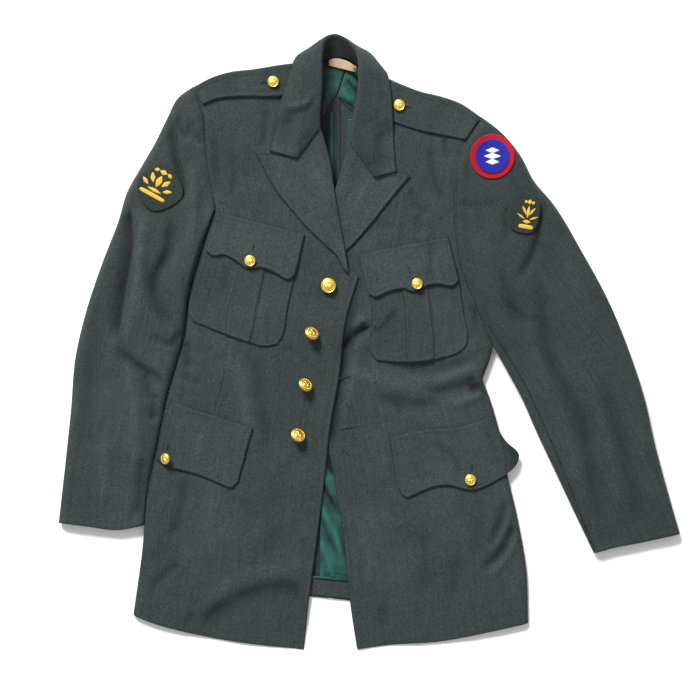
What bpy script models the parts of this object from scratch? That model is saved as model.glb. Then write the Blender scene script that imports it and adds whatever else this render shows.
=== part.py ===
"""A military dress tunic, laid flat with its back on the floor, its fronts up and its collar towards +Y.

Each cut piece is a closed wall over a four-sided patch: four edge curves give the patch in plan, and a
height rule or the pieces below give its level. Plan tables are short runs of points that a curve is drawn
through, in the columns across (X) and up (Y), in millimetres. Sides are named as the wearer has them, so
the right front is at -X. The right front lies over the left one.
"""

import math

import bpy
import numpy as np
from mathutils.bvhtree import BVHTree

MM = 0.001
CLOTH = 1.6  # serge of the body and the sleeves
FACED = 2.4  # two layers: lapels, collar, flaps and shoulder straps
SATIN = 1.0  # linings and bindings
BADGE = 1.3  # embroidered patches
SEAM = 0.3  # between two pieces that are sewn edge to edge
ARMHOLE_GAP = 0.8  # the same at the armhole, measured across
LIFT = 0.5  # between a piece and what it lies on
SIDE_CLEARANCE = 1.2  # between the body's side and the sleeve beside it
BULGE_SIDE = 11.0  # how far in from a side fold the cloth starts to turn down
BULGE_SHOULDER = 15.0
SHOULDER_MID = 13.0  # level of the shoulder seam
ARMHOLE_ROWS_RIGHT, ARMHOLE_ROWS_LEFT = 6, 11
SIDE_ROWS_RIGHT, SIDE_ROWS_LEFT = 16, 12  # from the hem to the armpit, with those over the waist
WAIST_ROWS_RIGHT, WAIST_ROWS_LEFT = 5, 2  # from the waist to the armpit
ROLL_ROWS, NECK_ROWS = 6, 3
FRONT_COLUMNS, BACK_COLUMNS, NECK_COLUMNS, SLEEVE_ROWS = 10, 6, 2, 13
TURN_AT = (1.0, 0.5, 0.134, 0.0)  # where the columns of a turned edge lie, in shares of its depth
TURN_KEEPS = (0.866, 0.5, 0.0)  # how much of its height cloth keeps at the last three of them
ARMPIT_EASE = (0.75, 0.45, 0.12)  # how much the rows beside the armpit turn down
SLEEVE_HEAD = 0.8  # how far the sleeve stands over the front at its head
SLEEVE_HEAD_SHARE = 0.16  # share of the sleeve's length that the head takes
COLLAR_SETTLED = 4.0  # stations at each end of the collar that lie on the fronts
PLEAT_RAISE = 1.4
PLEAT_STEP = 0.012  # width of the pleat's step, in shares of the pocket
COAT_BUTTON, POCKET_BUTTON = 10.9, 8.1  # radii
BUTTON_SIDES = 12

# Levels of the front's upper face, in the columns up (Y), edge, middle and side.
FRONT_LEVELS = (
    (-430, 2.0, 2.4, 8.0),
    (-372, 5.5, 8.0, 9.0),
    (-220, 7.0, 12.0, 12.0),
    (-80, 8.0, 12.5, 13.5),
    (90, 12.0, 17.0, 16.5),
    (190, 16.0, 19.5, 18.5),
    (300, 21.0, 23.5, 23.0),
    (390, 26.0, 27.0, 27.0),
)
# Level of the side seam, in the columns up (Y) and level.
SIDE_MID = ((-430, 3.6), (-372, 4.2), (-220, 6.0), (-80, 6.8), (0, 7.2), (190, 8.6))
# Level of a sleeve's upper face, in the columns share of its length and level.
SLEEVE_LEVELS = ((0.0, 25.0), (0.12, 25.0), (0.35, 21.0), (0.7, 17.0), (1.0, 14.0))

RIGHT_EDGE = (
    (-92, -429.8), (-84, -354.9), (-75.6, -290.5), (-63, -192.5), (-54.6, -115.5), (-42.7, -48.3),
    (-33, 31.5), (-15.4, 91.7),
)
RIGHT_ROLL = (
    (-15.4, 91.7), (-32.2, 112.7), (-39.9, 137.9), (-46.2, 176.4), (-53.2, 216.3), (-60.2, 255.5),
    (-71.4, 296.1),
)
RIGHT_NECK = ((-71.4, 296.1), (-86.8, 322.7), (-95.2, 359.1), (-95.2, 392))
RIGHT_SIDE = (
    (-330.4, -381.5), (-317.8, -290.5), (-310.8, -213.5), (-296.8, -146.3), (-281.4, -70.7),
    (-259, 9.1),
)
RIGHT_WAIST = ((-259, 9.1), (-250.9, 72.1), (-235.2, 129.5), (-214.9, 185.5))
RIGHT_ARMHOLE = ((-214.9, 185.5), (-222.6, 230.3), (-228.2, 280.7), (-231.7, 322.7), (-245.7, 357))
RIGHT_SHOULDER = (
    (-95.2, 392), (-131.6, 387.1), (-161, 382.2), (-191.8, 378.7), (-218.4, 371), (-245.7, 357),
)
RIGHT_HEM = (
    (-92, -429.8), (-155.4, -423.5), (-226.8, -412.3), (-274.4, -401.1), (-306.6, -391.3),
    (-330.4, -381.5),
)

LEFT_EDGE = (
    (-16.1, -429.8), (-25.2, -368.9), (-33.6, -284.9), (-45.8, -205.1), (-57, -140.7),
    (-68.6, -80.5), (-81.2, 3.5), (-85.4, 104.3),
)
LEFT_ROLL = (
    (-85.4, 104.3), (-65.8, 143.5), (-53.2, 178.5), (-44.8, 207.2), (-36.4, 234.5), (-23.1, 275.1),
)
LEFT_NECK = ((-23.1, 275.1), (-2.8, 294.7), (11.2, 322.7), (15.4, 350.7), (9.8, 377.3))
LEFT_SIDE = (
    (223.3, -392.7), (220.5, -318.5), (210, -255.5), (193.2, -181.3), (182, -122.5), (168, -74.9),
    (158.9, -51.1),
)
LEFT_WAIST = ((158.9, -51.1), (168, -27.3), (173.6, -5.6))
LEFT_ARMHOLE = (
    (173.6, -5.6), (146.3, 58.1), (128.8, 101.5), (121.1, 150.5), (119.7, 208.6), (128.8, 269.5),
    (156.8, 315),
)
LEFT_SHOULDER = (
    (9.8, 377.3), (43.4, 361.9), (74.2, 350.3), (99.4, 344.4), (127.4, 334.6), (156.8, 315),
)
LEFT_HEM = ((-16.1, -429.8), (25.2, -424.1), (100.8, -418.5), (168, -405.3), (223.3, -392.7))

BACK_SEAM = ((-53.2, -358.4), (-46.2, -150.5), (-39.2, 129.5), (-39.2, 401.8))
BACK_HEM_RIGHT = ((-53.2, -358.4), (-84, -355.6), (-208.6, -364.7), (-330.4, -381.5))
BACK_HEM_LEFT = ((-53.2, -358.4), (-26.6, -361.2), (99.4, -374.5), (223.3, -392.7))
BACK_NECK_RIGHT = ((-39.2, 401.8), (-65.8, 396.2), (-95.2, 392))
BACK_NECK_LEFT = ((-39.2, 401.8), (-23.8, 396.9), (-8.4, 387.1), (9.8, 377.3))

SLEEVE_OUTER_RIGHT = (
    (-245.7, 357), (-266, 342.3), (-282.8, 311.5), (-299.6, 277.9), (-319.2, 244.3),
    (-338.1, 210.7), (-350, 171.5), (-373.8, 109.9), (-396.2, 42.7), (-411.6, -24.5),
    (-417.2, -91.7), (-424.2, -158.9), (-434.7, -252),
)
SLEEVE_INNER_RIGHT = (
    (-214.9, 185.5), (-235.2, 129.5), (-250.6, 72.1), (-259, 9.1), (-281.4, -70.7),
    (-296.8, -146.3), (-310.8, -213.5), (-314.3, -255.5),
)
CUFF_RIGHT = ((-434.7, -252), (-393.4, -256.9), (-354.2, -261.8), (-314.3, -255.5))
SLEEVE_OUTER_LEFT = (
    (156.8, 315), (183.4, 294.7), (212.8, 259.7), (229.6, 227.5), (257.6, 193.9), (298.2, 126.7),
    (334.6, 59.5), (362.6, -7.7), (385, -74.9), (400.4, -142.1), (418.6, -209.3), (435.4, -267.4),
)
SLEEVE_INNER_LEFT = (
    (173.6, -5.6), (193.2, -41.3), (211.4, -74.9), (233.8, -125.3), (257.6, -175.7),
    (281.4, -226.1), (314.2, -294.7),
)
CUFF_LEFT = ((435.4, -267.4), (381.6, -279.3), (340.2, -287.3), (314.2, -294.7))

LAPEL_RIGHT = (
    (  # roll line
        (-30.8, 99.4), (-37.4, 137.5), (-44.8, 176.4), (-51.1, 216.3), (-57.4, 255.5),
        (-68.6, 296.1),
    ),
    (  # front edge
        (-35.7, 104.3), (-43.4, 119.7), (-59.5, 135.1), (-81.2, 156.1), (-106.4, 183.7),
        (-129.1, 212.5), (-158.2, 266),
    ),
    ((-158.2, 266), (-138.6, 267.4), (-99.4, 258.3)),  # notch
    ((-99.4, 258.3), (-84, 279.3), (-68.6, 296.1)),  # seam to the collar
)
LAPEL_LEFT = (
    (  # roll line
        (-88.2, 105.7), (-67.9, 143.5), (-55.3, 178.5), (-46.9, 207.2), (-39.2, 231.7),
        (-25.9, 276.5),
    ),
    (  # front edge
        (-81.2, 100.1), (-58.8, 111.3), (-33.6, 128.1), (-3.8, 158.9), (17.6, 185.5),
        (39.2, 212.1), (56.7, 232.4),
    ),
    ((56.7, 232.4), (39.2, 235.9), (7, 231.7)),  # notch
    ((7, 231.7), (-11.2, 252.7), (-25.9, 276.5)),  # seam to the collar
)

# The collar's fall at stations from the right tip round the neck to the left tip. Its fold, its middle and
# its free edge have the columns across (X), up (Y) and level (Z).
FALL_FOLD = (
    (-68.6, 296.1, 29), (-70, 312.9, 33), (-70.6, 331.1, 36), (-70.7, 361.9, 38),
    (-69.3, 395.5, 35), (-64.4, 420, 25), (-47.6, 429.1, 16), (-26.6, 418.6, 21),
    (-12.3, 399.7, 33), (-10.6, 378.7, 38), (-12.6, 346.5, 38), (-17.5, 312.9, 36),
    (-21.7, 293.3, 33), (-26.6, 276.5, 30),
)
FALL_MIDDLE = (
    (-99.4, 257.2, 28), (-99.4, 290.5, 33), (-97.3, 321.3, 35), (-92.4, 357.7, 37),
    (-87.5, 399.7, 31), (-78.4, 412.3, 15), (-46.9, 423.5, 6), (-18.2, 410.9, 10),
    (2.1, 401.1, 21), (8.4, 381.5, 34), (8.4, 347.9, 36), (7.7, 305.9, 34), (7, 266.7, 32),
    (7, 230.6, 28),
)
FALL_EDGE = (
    (-137.9, 266.7, 24), (-132.3, 293.3, 25), (-126, 319.9, 26), (-114.1, 357.7, 28),
    (-100.1, 397.6, 21), (-75.6, 402.5, 4.5), (-47.6, 405.3, 3), (-19.6, 401.1, 3.6),
    (3.5, 389.9, 8), (22.4, 375.9, 24), (28.7, 350.7, 29), (32.2, 310.1, 28), (34.3, 272.3, 26),
    (36.8, 237.6, 24),
)
# The collar's stand, from its seam on the neck to its fold.
STAND_SEAM = (
    (-79.8, 317.1, 22), (-91, 350.7, 22), (-90.3, 381.5, 17), (-79.8, 393.4, 8),
    (-61.6, 395.8, 2.6), (-39.2, 399.4, 2.4), (-23.8, 394.4, 2.6), (-9.8, 383.6, 7),
    (4.2, 371.7, 16), (10.5, 349.3, 22), (5.6, 321.3, 23), (-8.4, 296.1, 23),
)
STAND_FOLD = (
    (-69.2, 319.9, 33), (-68, 353.5, 35.2), (-67.8, 384.3, 33.5), (-65.8, 405.3, 27.5),
    (-60.2, 418.6, 19.2), (-46.2, 425.6, 13.4), (-30.1, 417.9, 16.8), (-17.5, 403.9, 25.5),
    (-13.4, 384.3, 33.2), (-14.6, 350.7, 35), (-19.6, 322.7, 33.5), (-23, 297.5, 31),
)

STRAP_RIGHT_TOP = ((-242.9, 354.2), (-217.7, 367.5), (-161, 378), (-100.8, 387.8))
STRAP_RIGHT_LOW = ((-231.7, 331.8), (-217, 338.1), (-180.6, 342.9), (-143.5, 342.3), (-99.4, 346.5))
STRAP_LEFT_TOP = ((19.6, 366.8), (43.4, 357), (74.2, 346.5), (117.6, 334.2), (154, 312.5))
STRAP_LEFT_LOW = ((19.6, 314.3), (32.2, 308.7), (64.4, 297.5), (103.6, 289.1), (133.7, 282.8))

POCKET_RIGHT = (
    ((-245.7, 30.1), (-205.8, 14), (-172.2, 2.1), (-147, -4.9), (-128.8, -2.1)),  # lower edge
    ((-226.8, 139.3), (-166.6, 123.9), (-100.8, 109.9)),  # upper edge
    ((-245.7, 30.1), (-251.6, 42.7), (-250.6, 55.3), (-239.4, 93.1), (-226.8, 139.3)),  # edge at -X
    ((-128.8, -2.1), (-122.1, 7.7), (-114.8, 45.5), (-100.8, 109.9)),  # edge at +X
)
POCKET_LEFT = (
    ((11.2, -24.5), (49.7, -27), (86, -24.1), (114, -17.5), (131.6, -9.1)),  # lower edge
    ((-4.2, 98.7), (60.2, 101.5), (121.8, 107.1)),  # upper edge
    ((11.2, -24.5), (2.8, -13.3), (3.5, 10.5), (4.9, 45.5), (-4.2, 98.7)),  # edge at -X
    ((131.6, -9.1), (137.8, 3.5), (131.6, 42.7), (121.8, 107.1)),  # edge at +X
)
PLEAT_RIGHT, PLEAT_LEFT = (0.40, 0.68), (0.36, 0.64)  # shares across the pocket

FLAP_CHEST_RIGHT_TOP = ((-212.1, 182.7), (-152.6, 168), (-90.4, 151.1))
FLAP_CHEST_RIGHT_LOW = (
    (-226.8, 128.1), (-219.8, 122.1), (-201.6, 122.9), (-186.2, 114.8), (-169.4, 103.6),
    (-149.8, 105), (-128.8, 96.6), (-112, 88.5), (-103.9, 94.5),
)
FLAP_CHEST_LEFT_TOP = ((-14.6, 123.9), (46.2, 135.8), (109.8, 147.1))
FLAP_CHEST_LEFT_LOW = (
    (-1.1, 70), (5.6, 64.4), (26.6, 71.4), (46.2, 75.9), (64.4, 71.7), (81.2, 80.1), (96.6, 82.2),
    (116.8, 79.8), (124.3, 86.1),
)
FLAP_HIP_RIGHT_TOP = ((-277.2, -81.2), (-221.2, -99.8), (-163.1, -118.3))
FLAP_HIP_RIGHT_LOW = (
    (-296.8, -162.4), (-287, -170.8), (-263.8, -177.5), (-247.8, -181.3), (-229.6, -187.6),
    (-204.8, -198.1), (-193.2, -202.3), (-184.1, -194.6),
)
FLAP_HIP_LEFT_TOP = ((29.4, -131.7), (69, -121.8), (129.2, -116.3), (169.4, -103.6))
FLAP_HIP_LEFT_LOW = (
    (40.9, -203.7), (50.4, -215.3), (71.4, -208.3), (91, -200.9), (112, -198.9), (130.2, -203.7),
    (147, -205.4), (165.2, -198.9), (191.8, -184.1),
)
FLAP_HIP_LEFT_END = (
    (169.4, -103.6), (190.4, -137.9), (209.3, -158.9), (204.4, -172.9), (191.8, -184.1),
)

YOKE_RIGHT_UP = ((-32.9, 386.4), (-60.2, 386.4), (-88.2, 377.3), (-149.8, 361.9), (-210, 345.1))
YOKE_RIGHT_LOW = ((-45.5, 347.2), (-58.8, 325.5), (-72.8, 312.2), (-131.6, 283.5), (-205.8, 255.5))
YOKE_LEFT_UP = ((-30.1, 386), (-15.4, 375.9), (5.6, 364.7), (60.2, 338.1), (113.4, 308.7))
YOKE_LEFT_LOW = ((-43.7, 345.8), (-28, 328.3), (-15.4, 319.2), (43.4, 283.5), (106.4, 248.5))
SKIRT_LINING = (
    ((-67.2, -136.5), (35, -144.9)),  # its upper end
    ((-68.6, -330.4), (37.8, -335.3)),  # its lower end
)
BINDING_RIGHT = ((-52.5, 322.7), (-52.8, 224.7))
BINDING_LEFT = ((-25.9, 312.9), (-28, 238.7))
BINDING_WIDTH = 5.6
HEM_FACING_DEPTH, HEM_FACING_INSET = 25.0, 1.5
LABEL = (
    ((-56.4, 395.5), (-50, 397.6), (-28, 392.3), (-17.6, 382.2)),  # its upper edge
    ((-56.4, 388.2), (-50.4, 386.7), (-36.4, 383.2), (-19, 377.3)),  # its lower edge
)

# Buttons, in the columns name, across (X), up (Y), radius, lean in degrees and heading of the lean.
BUTTONS = (
    ("front_1", *(-56.7, 79.5), COAT_BUTTON, 0, 0),
    ("front_2", *(-80.4, 12.2), COAT_BUTTON, 30, 40),
    ("front_3", *(-89.3, -59.5), COAT_BUTTON, 30, 40),
    ("front_4", *(-99.7, -129.9), COAT_BUTTON, 30, 40),
    ("strap_right", *(-133.4, 362.6), POCKET_BUTTON, 0, 0),
    ("strap_left", *(42, 330.1), POCKET_BUTTON, 0, 0),
    ("chest_right", *(-165.9, 113.8), POCKET_BUTTON, 0, 0),
    ("chest_left", *(66.8, 82), POCKET_BUTTON, 0, 0),
    ("hip_right", *(-283.5, -162.1), POCKET_BUTTON, 24, 180),
    ("hip_left", *(141.4, -191.7), POCKET_BUTTON, 0, 0),
)
# Section of a button of radius 1, from the middle of its dome to the foot of its shank.
BUTTON_SECTION = ((0.42, 0.52), (0.78, 0.36), (0.97, 0.13), (0.97, 0.0), (0.3, -0.02), (0.24, -0.24))
BUTTON_DOME = 0.58

# Patches, in the columns name, across (X), up (Y), half width, half height and turn in degrees.
PATCHES = (
    ("patch_rank_right", *(-291.2, 214.2), 30.0, 29.0, 25),
    ("patch_rank_left", *(217, 178.5), 20.5, 27.0, -12),
    ("patch_shoulder_left", *(171.5, 259), 28.0, 28.0, 0),
)
PATCH_SIDES = 16

COLOURS = {
    "serge": ((0.060, 0.077, 0.081), 0.0, 0.85),
    "satin": ((0.026, 0.130, 0.091), 0.0, 0.35),
    "brass": ((0.83, 0.49, 0.045), 1.0, 0.25),
    "label": ((0.69, 0.48, 0.26), 0.0, 0.8),
    "embroidery": ((0.75, 0.02, 0.03), 0.0, 0.7),
    "badge_cloth": ((0.045, 0.065, 0.06), 0.0, 0.9),
}


def curve(points, count):
    """count + 1 points evenly spaced along a smooth curve through points."""
    p = np.array(points, float)
    if len(p) > 2:
        step = np.linalg.norm(np.diff(p, axis=0), axis=1)
        at = np.concatenate([[0], np.cumsum(step)])
        slope = np.gradient(p, at, axis=0)
        t = np.linspace(0, 1, 13)[:-1, None]
        spans = [
            (2 * t**3 - 3 * t**2 + 1) * p[k]
            + (t**3 - 2 * t**2 + t) * h * slope[k]
            + (3 * t**2 - 2 * t**3) * p[k + 1]
            + (t**3 - t**2) * h * slope[k + 1]
            for k, h in enumerate(step)
        ]
        p = np.vstack(spans + [p[-1:]])
    return spread(p, np.linspace(0, 1, count + 1))


def spread(line, shares):
    """The points of a line at shares of its length."""
    along = np.concatenate([[0], np.cumsum(np.linalg.norm(np.diff(line, axis=0), axis=1))])
    at = np.asarray(shares) * along[-1]
    return np.stack([np.interp(at, along, line[:, k]) for k in range(line.shape[1])], axis=1)


def runs(*pairs):
    """Curves end to end, given as points, count, points, count and so on. Each joint is a corner."""
    parts = [curve(p, n) for p, n in zip(pairs[::2], pairs[1::2])]
    return np.vstack([parts[0]] + [p[1:] for p in parts[1:]])


def patch(first, last, low, high):
    """A four-sided grid in plan, rows along low to high and columns along first to last."""
    rows, columns = len(first), len(low)
    u = np.linspace(0, 1, columns)[None, :, None]
    v = np.linspace(0, 1, rows)[:, None, None]
    sides = (1 - u) * first[:, None] + u * last[:, None]
    ends = (1 - v) * low[None] + v * high[None]
    corners = (1 - u) * (1 - v) * low[0] + u * (1 - v) * low[-1]
    return sides + ends - corners - (1 - u) * v * high[0] - u * v * high[-1]


def turned_end(grid, radius):
    """The grid with three more columns near its last one, for cloth that turns down over radius."""
    rows = []
    for line in grid:
        length = np.linalg.norm(np.diff(line, axis=0), axis=1).sum()
        along = np.concatenate([[0], np.cumsum(np.linalg.norm(np.diff(line, axis=0), axis=1))])
        kept = along[:-1] * min(1.0, (length - 1.2 * radius) / along[-2])
        shares = np.concatenate([kept, length - radius * np.array(TURN_AT[1:])]) / length
        rows.append(spread(line, shares))
    return np.array(rows)


def across(grid):
    """The grid with its rows and columns changed round."""
    return np.swapaxes(grid, 0, 1)


def turn(columns):
    """How much of its height cloth keeps at each column of a grid from turned_end."""
    return np.concatenate([np.ones(columns - 3), TURN_KEEPS])


def shares_of(grid):
    """How far along its row each grid point is, from 0 to 1."""
    steps = np.linalg.norm(np.diff(grid, axis=1), axis=2)
    along = np.concatenate([np.zeros((len(grid), 1)), np.cumsum(steps, axis=1)], axis=1)
    return along / along[:, -1:]


def from_table(table, at, column=1):
    """A smooth reading of one column of a table of levels."""
    t = np.array(table, float)
    return np.interp(at, t[:, 0], t[:, column])


def front_level(grid):
    """Level of a front's upper face, before it turns down at its side and shoulder."""
    up, share = grid[..., 1], shares_of(grid)
    edge, middle, side = (from_table(FRONT_LEVELS, up, k) for k in (1, 2, 3))
    rise = np.clip(share / 0.4, 0, 1)
    far = np.clip((share - 0.5) / 0.4, 0, 1)
    rise, far = rise**2 * (3 - 2 * rise), far**2 * (3 - 2 * far)
    return edge + (middle - edge) * rise + (side - middle) * far


def normals(grid):
    """Unit normals of a grid of points in space, on the side that a row crossed with a column gives."""
    n = np.cross(np.gradient(grid, axis=1), np.gradient(grid, axis=0))
    return n / np.linalg.norm(n, axis=2, keepdims=True)


class Piece:
    """A named closed mesh and what finds the level of its upper side."""

    made = {}

    def __init__(self, name, points, faces, material):
        self.name, self.points, self.faces, self.material = name, np.array(points), faces, material
        self.tree = BVHTree.FromPolygons(self.points.tolist(), faces)
        Piece.made[name] = self

    def top(self, x, y):
        hit = self.tree.ray_cast((x, y, 200.0), (0, 0, -1))[0]
        return None if hit is None else hit[2]


def wall(name, outer, inner, material):
    """A closed piece between two grids of the same size. outer is the side that faces up or out."""
    rows, columns = outer.shape[:2]
    count = rows * columns
    points = np.vstack([outer.reshape(-1, 3), inner.reshape(-1, 3)])
    faces = []

    def at(r, c):
        return r * columns + c

    for r in range(rows - 1):
        for c in range(columns - 1):
            a, b, d, e = at(r, c), at(r, c + 1), at(r + 1, c), at(r + 1, c + 1)
            faces += [(a, b, e), (a, e, d)]
            faces += [(count + a, count + e, count + b), (count + a, count + d, count + e)]
    ring = [at(0, c) for c in range(columns)] + [at(r, columns - 1) for r in range(1, rows)]
    ring += [at(rows - 1, c) for c in range(columns - 2, -1, -1)]
    ring += [at(r, 0) for r in range(rows - 2, 0, -1)]
    for a, b in zip(ring, ring[1:] + ring[:1]):
        faces += [(a, count + a, count + b), (a, count + b, b)]
    volume = 0.0
    for a, b, c in faces:
        volume += np.dot(points[a], np.cross(points[b], points[c]))
    if volume < 0:
        faces = [(c, b, a) for a, b, c in faces]
    return Piece(name, points, faces, material)


def level_below(grid, carriers):
    """Highest level of the carriers under and round each grid point, or -1 where there is none."""
    rows, columns = grid.shape[:2]
    fine = np.empty((2 * rows - 1, 2 * columns - 1, 2))
    fine[::2, ::2] = grid[..., :2]
    fine[1::2, ::2] = (fine[:-2:2, ::2] + fine[2::2, ::2]) / 2
    fine[:, 1::2] = (fine[:, :-2:2] + fine[:, 2::2]) / 2
    found = np.full(fine.shape[:2], -1.0)
    for r in range(fine.shape[0]):
        for c in range(fine.shape[1]):
            hits = [k.top(*fine[r, c]) for k in carriers]
            found[r, c] = max([h for h in hits if h is not None], default=-1.0)
    wide = np.pad(found, 1, mode="edge")
    spans = [wide[i : i + found.shape[0], j : j + found.shape[1]] for i in range(3) for j in range(3)]
    return np.max(spans, axis=0)[::2, ::2]


def mean_of_neighbours(z):
    """Each value's mean with its four neighbours, with the border carried on outward."""
    w = np.pad(z, 1, mode="edge")
    return (w[:-2, 1:-1] + w[2:, 1:-1] + w[1:-1, :-2] + w[1:-1, 2:]) / 4


def drape(grid, carriers, least=0.0, turns=30):
    """The level of a sheet that lies on the carriers and bridges their hollows."""
    below = np.maximum(level_below(grid, carriers) + LIFT, least)
    z = below.copy()
    for _ in range(turns):
        z = np.maximum(below, mean_of_neighbours(z))
    return z


def raised(grid, z, carriers, thick, fade=0.95, turns=60, room=0.5):
    """The upper level z of a sheet, lifted smoothly where the carriers need more room under it."""
    below = level_below(grid, carriers)
    need = np.where(below >= 0, below + LIFT + room + thick - z, -1.0)
    lift = np.maximum(need, 0)
    for _ in range(turns):
        lift = np.maximum(np.maximum(need, 0), fade * mean_of_neighbours(lift))
    return z + lift


def with_level(grid, z):
    return np.concatenate([grid[..., :2], np.asarray(z)[..., None]], axis=2)


def leaf(name, grid, carriers, thick, material, least=0.0):
    """A sheet of even or tabled thickness, laid on the carriers."""
    low = with_level(grid, drape(grid, carriers, least))
    up = low.copy()
    up[..., 2] += thick
    return wall(name, up, low, material)


def body_grid(inner, outer, low, high):
    """A body panel's plan: from its inner edge to its side across, from its hem to its shoulder up."""
    flat = turned_end(patch(inner, outer, low, high), BULGE_SIDE)
    return across(turned_end(across(flat), BULGE_SHOULDER))


def side_turn(rows, side_rows):
    """How much each row turns down at its side: all of it up to the armpit, and none along the armhole."""
    amount = np.ones(rows)
    amount[side_rows:] = 0.0
    amount[side_rows - 1 : side_rows + 2] = ARMPIT_EASE
    return amount[:, None]


def make_front(half, carriers):
    """A front: its outer wall turns down to the seams at its side and its shoulder."""
    outer_edge = half.outer_edge()
    edge_rows = len(outer_edge) - 1 - ROLL_ROWS - NECK_ROWS
    edge = runs(half.edge, edge_rows, half.roll, ROLL_ROWS, half.neck, NECK_ROWS)
    high, low = curve(half.shoulder, FRONT_COLUMNS), curve(half.hem, FRONT_COLUMNS)
    grid = body_grid(edge, outer_edge, low, high)
    rows, columns = grid.shape[:2]
    level = raised(grid, front_level(grid), carriers, CLOTH)
    mid = from_table(SIDE_MID, grid[:, -1, 1])[:, None] + SEAM / 2
    drop = 1 - side_turn(rows, half.side_rows) * (1 - turn(columns)[None])
    level = mid + (level - mid) * drop
    top = SHOULDER_MID + SEAM / 2
    outer = with_level(grid, top + (level - top) * turn(rows)[:, None])
    inner = outer - CLOTH * up_facing(normals(outer))
    inner[: half.side_rows, -1, 2] = outer[: half.side_rows, -1, 2]
    inner[-1, :, 2] = outer[-1, :, 2]
    half.armhole_line = grid[half.side_rows :, -1, :2]
    return wall("front_" + half.name, outer, inner, "serge")


def up_facing(n):
    return n * np.where(n[..., 2:] < 0, -1, 1)


def make_back(half):
    """A back: flat on the floor, turned up to the seams at its side and its shoulder."""
    middle = curve(BACK_SEAM, 40) + (half.way * SEAM / 2, 0)
    high = runs(half.back_neck, NECK_COLUMNS, half.shoulder, BACK_COLUMNS)
    low = curve(half.back_hem, len(high) - 1)
    high[0], low[0] = middle[-1], middle[0]
    outer_edge = half.outer_edge()
    grid = body_grid(spread(middle, np.linspace(0, 1, len(outer_edge))), outer_edge, low, high)
    rows, columns = grid.shape[:2]
    mid = from_table(SIDE_MID, grid[:, -1, 1])[:, None] - SEAM / 2
    level = mid * side_turn(rows, half.side_rows) * (1 - turn(columns)[None])
    rise = (1 - turn(rows))[:, None] * np.clip(np.arange(columns) - NECK_COLUMNS + 1.0, 0, 1)[None]
    outer = with_level(grid, level + (SHOULDER_MID - SEAM / 2 - level) * rise)
    inner = outer + CLOTH * up_facing(normals(outer))
    inner[: half.side_rows, -1, 2] = outer[: half.side_rows, -1, 2]
    inner[-1, NECK_COLUMNS:, 2] = outer[-1, NECK_COLUMNS:, 2]
    return wall("back_" + half.name, outer, inner, "serge")


def sleeve_grid(half):
    """A sleeve's plan: rows from the armhole to the cuff, columns from its outer fold to its inner one."""
    seam = half.armhole_line[::-1] + (half.way * ARMHOLE_GAP, 0)
    last = np.linalg.norm(seam[-1] - seam[-2])
    tail = 1 - np.array(TURN_AT) * min(1.0, BULGE_SIDE / last)
    seam = np.vstack([seam[:-1], spread(seam[-2:], tail)])
    far, near = curve(half.sleeve_outer, SLEEVE_ROWS), curve(half.sleeve_inner, SLEEVE_ROWS)
    near = near + (half.way * SIDE_CLEARANCE, 0)
    end = curve(half.cuff, 40)
    far[0], near[0], end[0], end[-1] = seam[0], seam[-1], far[-1], near[-1]
    rows = []
    for k, line in enumerate(patch(far, near, spread(seam, np.linspace(0, 1, 41)), end)):
        length = np.linalg.norm(np.diff(line, axis=0), axis=1).sum()
        turn_in = BULGE_SHOULDER + (BULGE_SIDE - BULGE_SHOULDER) * min(1.0, k / 3)
        head = turn_in * np.array(TURN_AT[:0:-1])
        body = np.linspace(turn_in, length - BULGE_SIDE, len(seam) - 6)
        foot = length - BULGE_SIDE * np.array(TURN_AT[1:])
        rows.append(spread(line, np.concatenate([head, body, foot]) / length))
    rows[0] = seam
    return np.array(rows)


def level_at_seam(half, seam, front):
    """The front's level along its armhole, for the sleeve to meet."""
    found = []
    for x, y in seam:
        hits = [front.top(x - half.way * d, y) for d in (1.5, 3.0, 5.0)]
        found.append(max([h for h in hits if h is not None], default=np.nan))
    found = np.array(found)
    known = np.flatnonzero(~np.isnan(found))
    return np.interp(np.arange(len(found)), known, found[known]) + SLEEVE_HEAD


def make_sleeve(half, front):
    """The upper and the under sleeve, which meet at the two folds."""
    grid = sleeve_grid(half)
    rows, columns = grid.shape[:2]
    share = np.linspace(0, 1, rows)[:, None]
    level = from_table(SLEEVE_LEVELS, share) * np.ones((1, columns))
    keep = np.minimum(turn(columns), turn(columns)[::-1])[None]
    mid = level / 2
    own = mid + (level - mid) * keep
    blend = np.clip(share / SLEEVE_HEAD_SHARE, 0, 1)
    blend = blend**2 * (3 - 2 * blend)
    level = own + (level_at_seam(half, grid[0], front) - own) * (1 - blend) * (keep > 0)
    up = with_level(grid, np.maximum(level, mid) + SEAM / 2)
    within = up - CLOTH * up_facing(normals(up))
    within[:, [0, -1], 2] = up[:, [0, -1], 2]
    upper = wall("sleeve_upper_" + half.name, up, within, "serge")
    down = with_level(grid, mid * (1 - keep))
    down[:, [0, -1], 2] -= SEAM / 2
    within = down + CLOTH * up_facing(normals(down))
    within[:, [0, -1], 2] = down[:, [0, -1], 2]
    wall("sleeve_under_" + half.name, down, within, "serge")
    return upper


def make_lapel(side, tables, carriers):
    """A lapel: its front edge, its notch and the seam to the collar."""
    roll, outer, notch, gorge = tables
    columns, rows, at_gorge = 7, 11, 3
    top = runs(gorge[::-1], at_gorge, notch[::-1], columns - at_gorge)
    low = curve((roll[0], outer[0]), columns)
    grid = patch(curve(roll, rows), curve(outer, rows), low, top)
    return leaf("lapel_" + side, grid, carriers, FACED, "serge")


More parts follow.
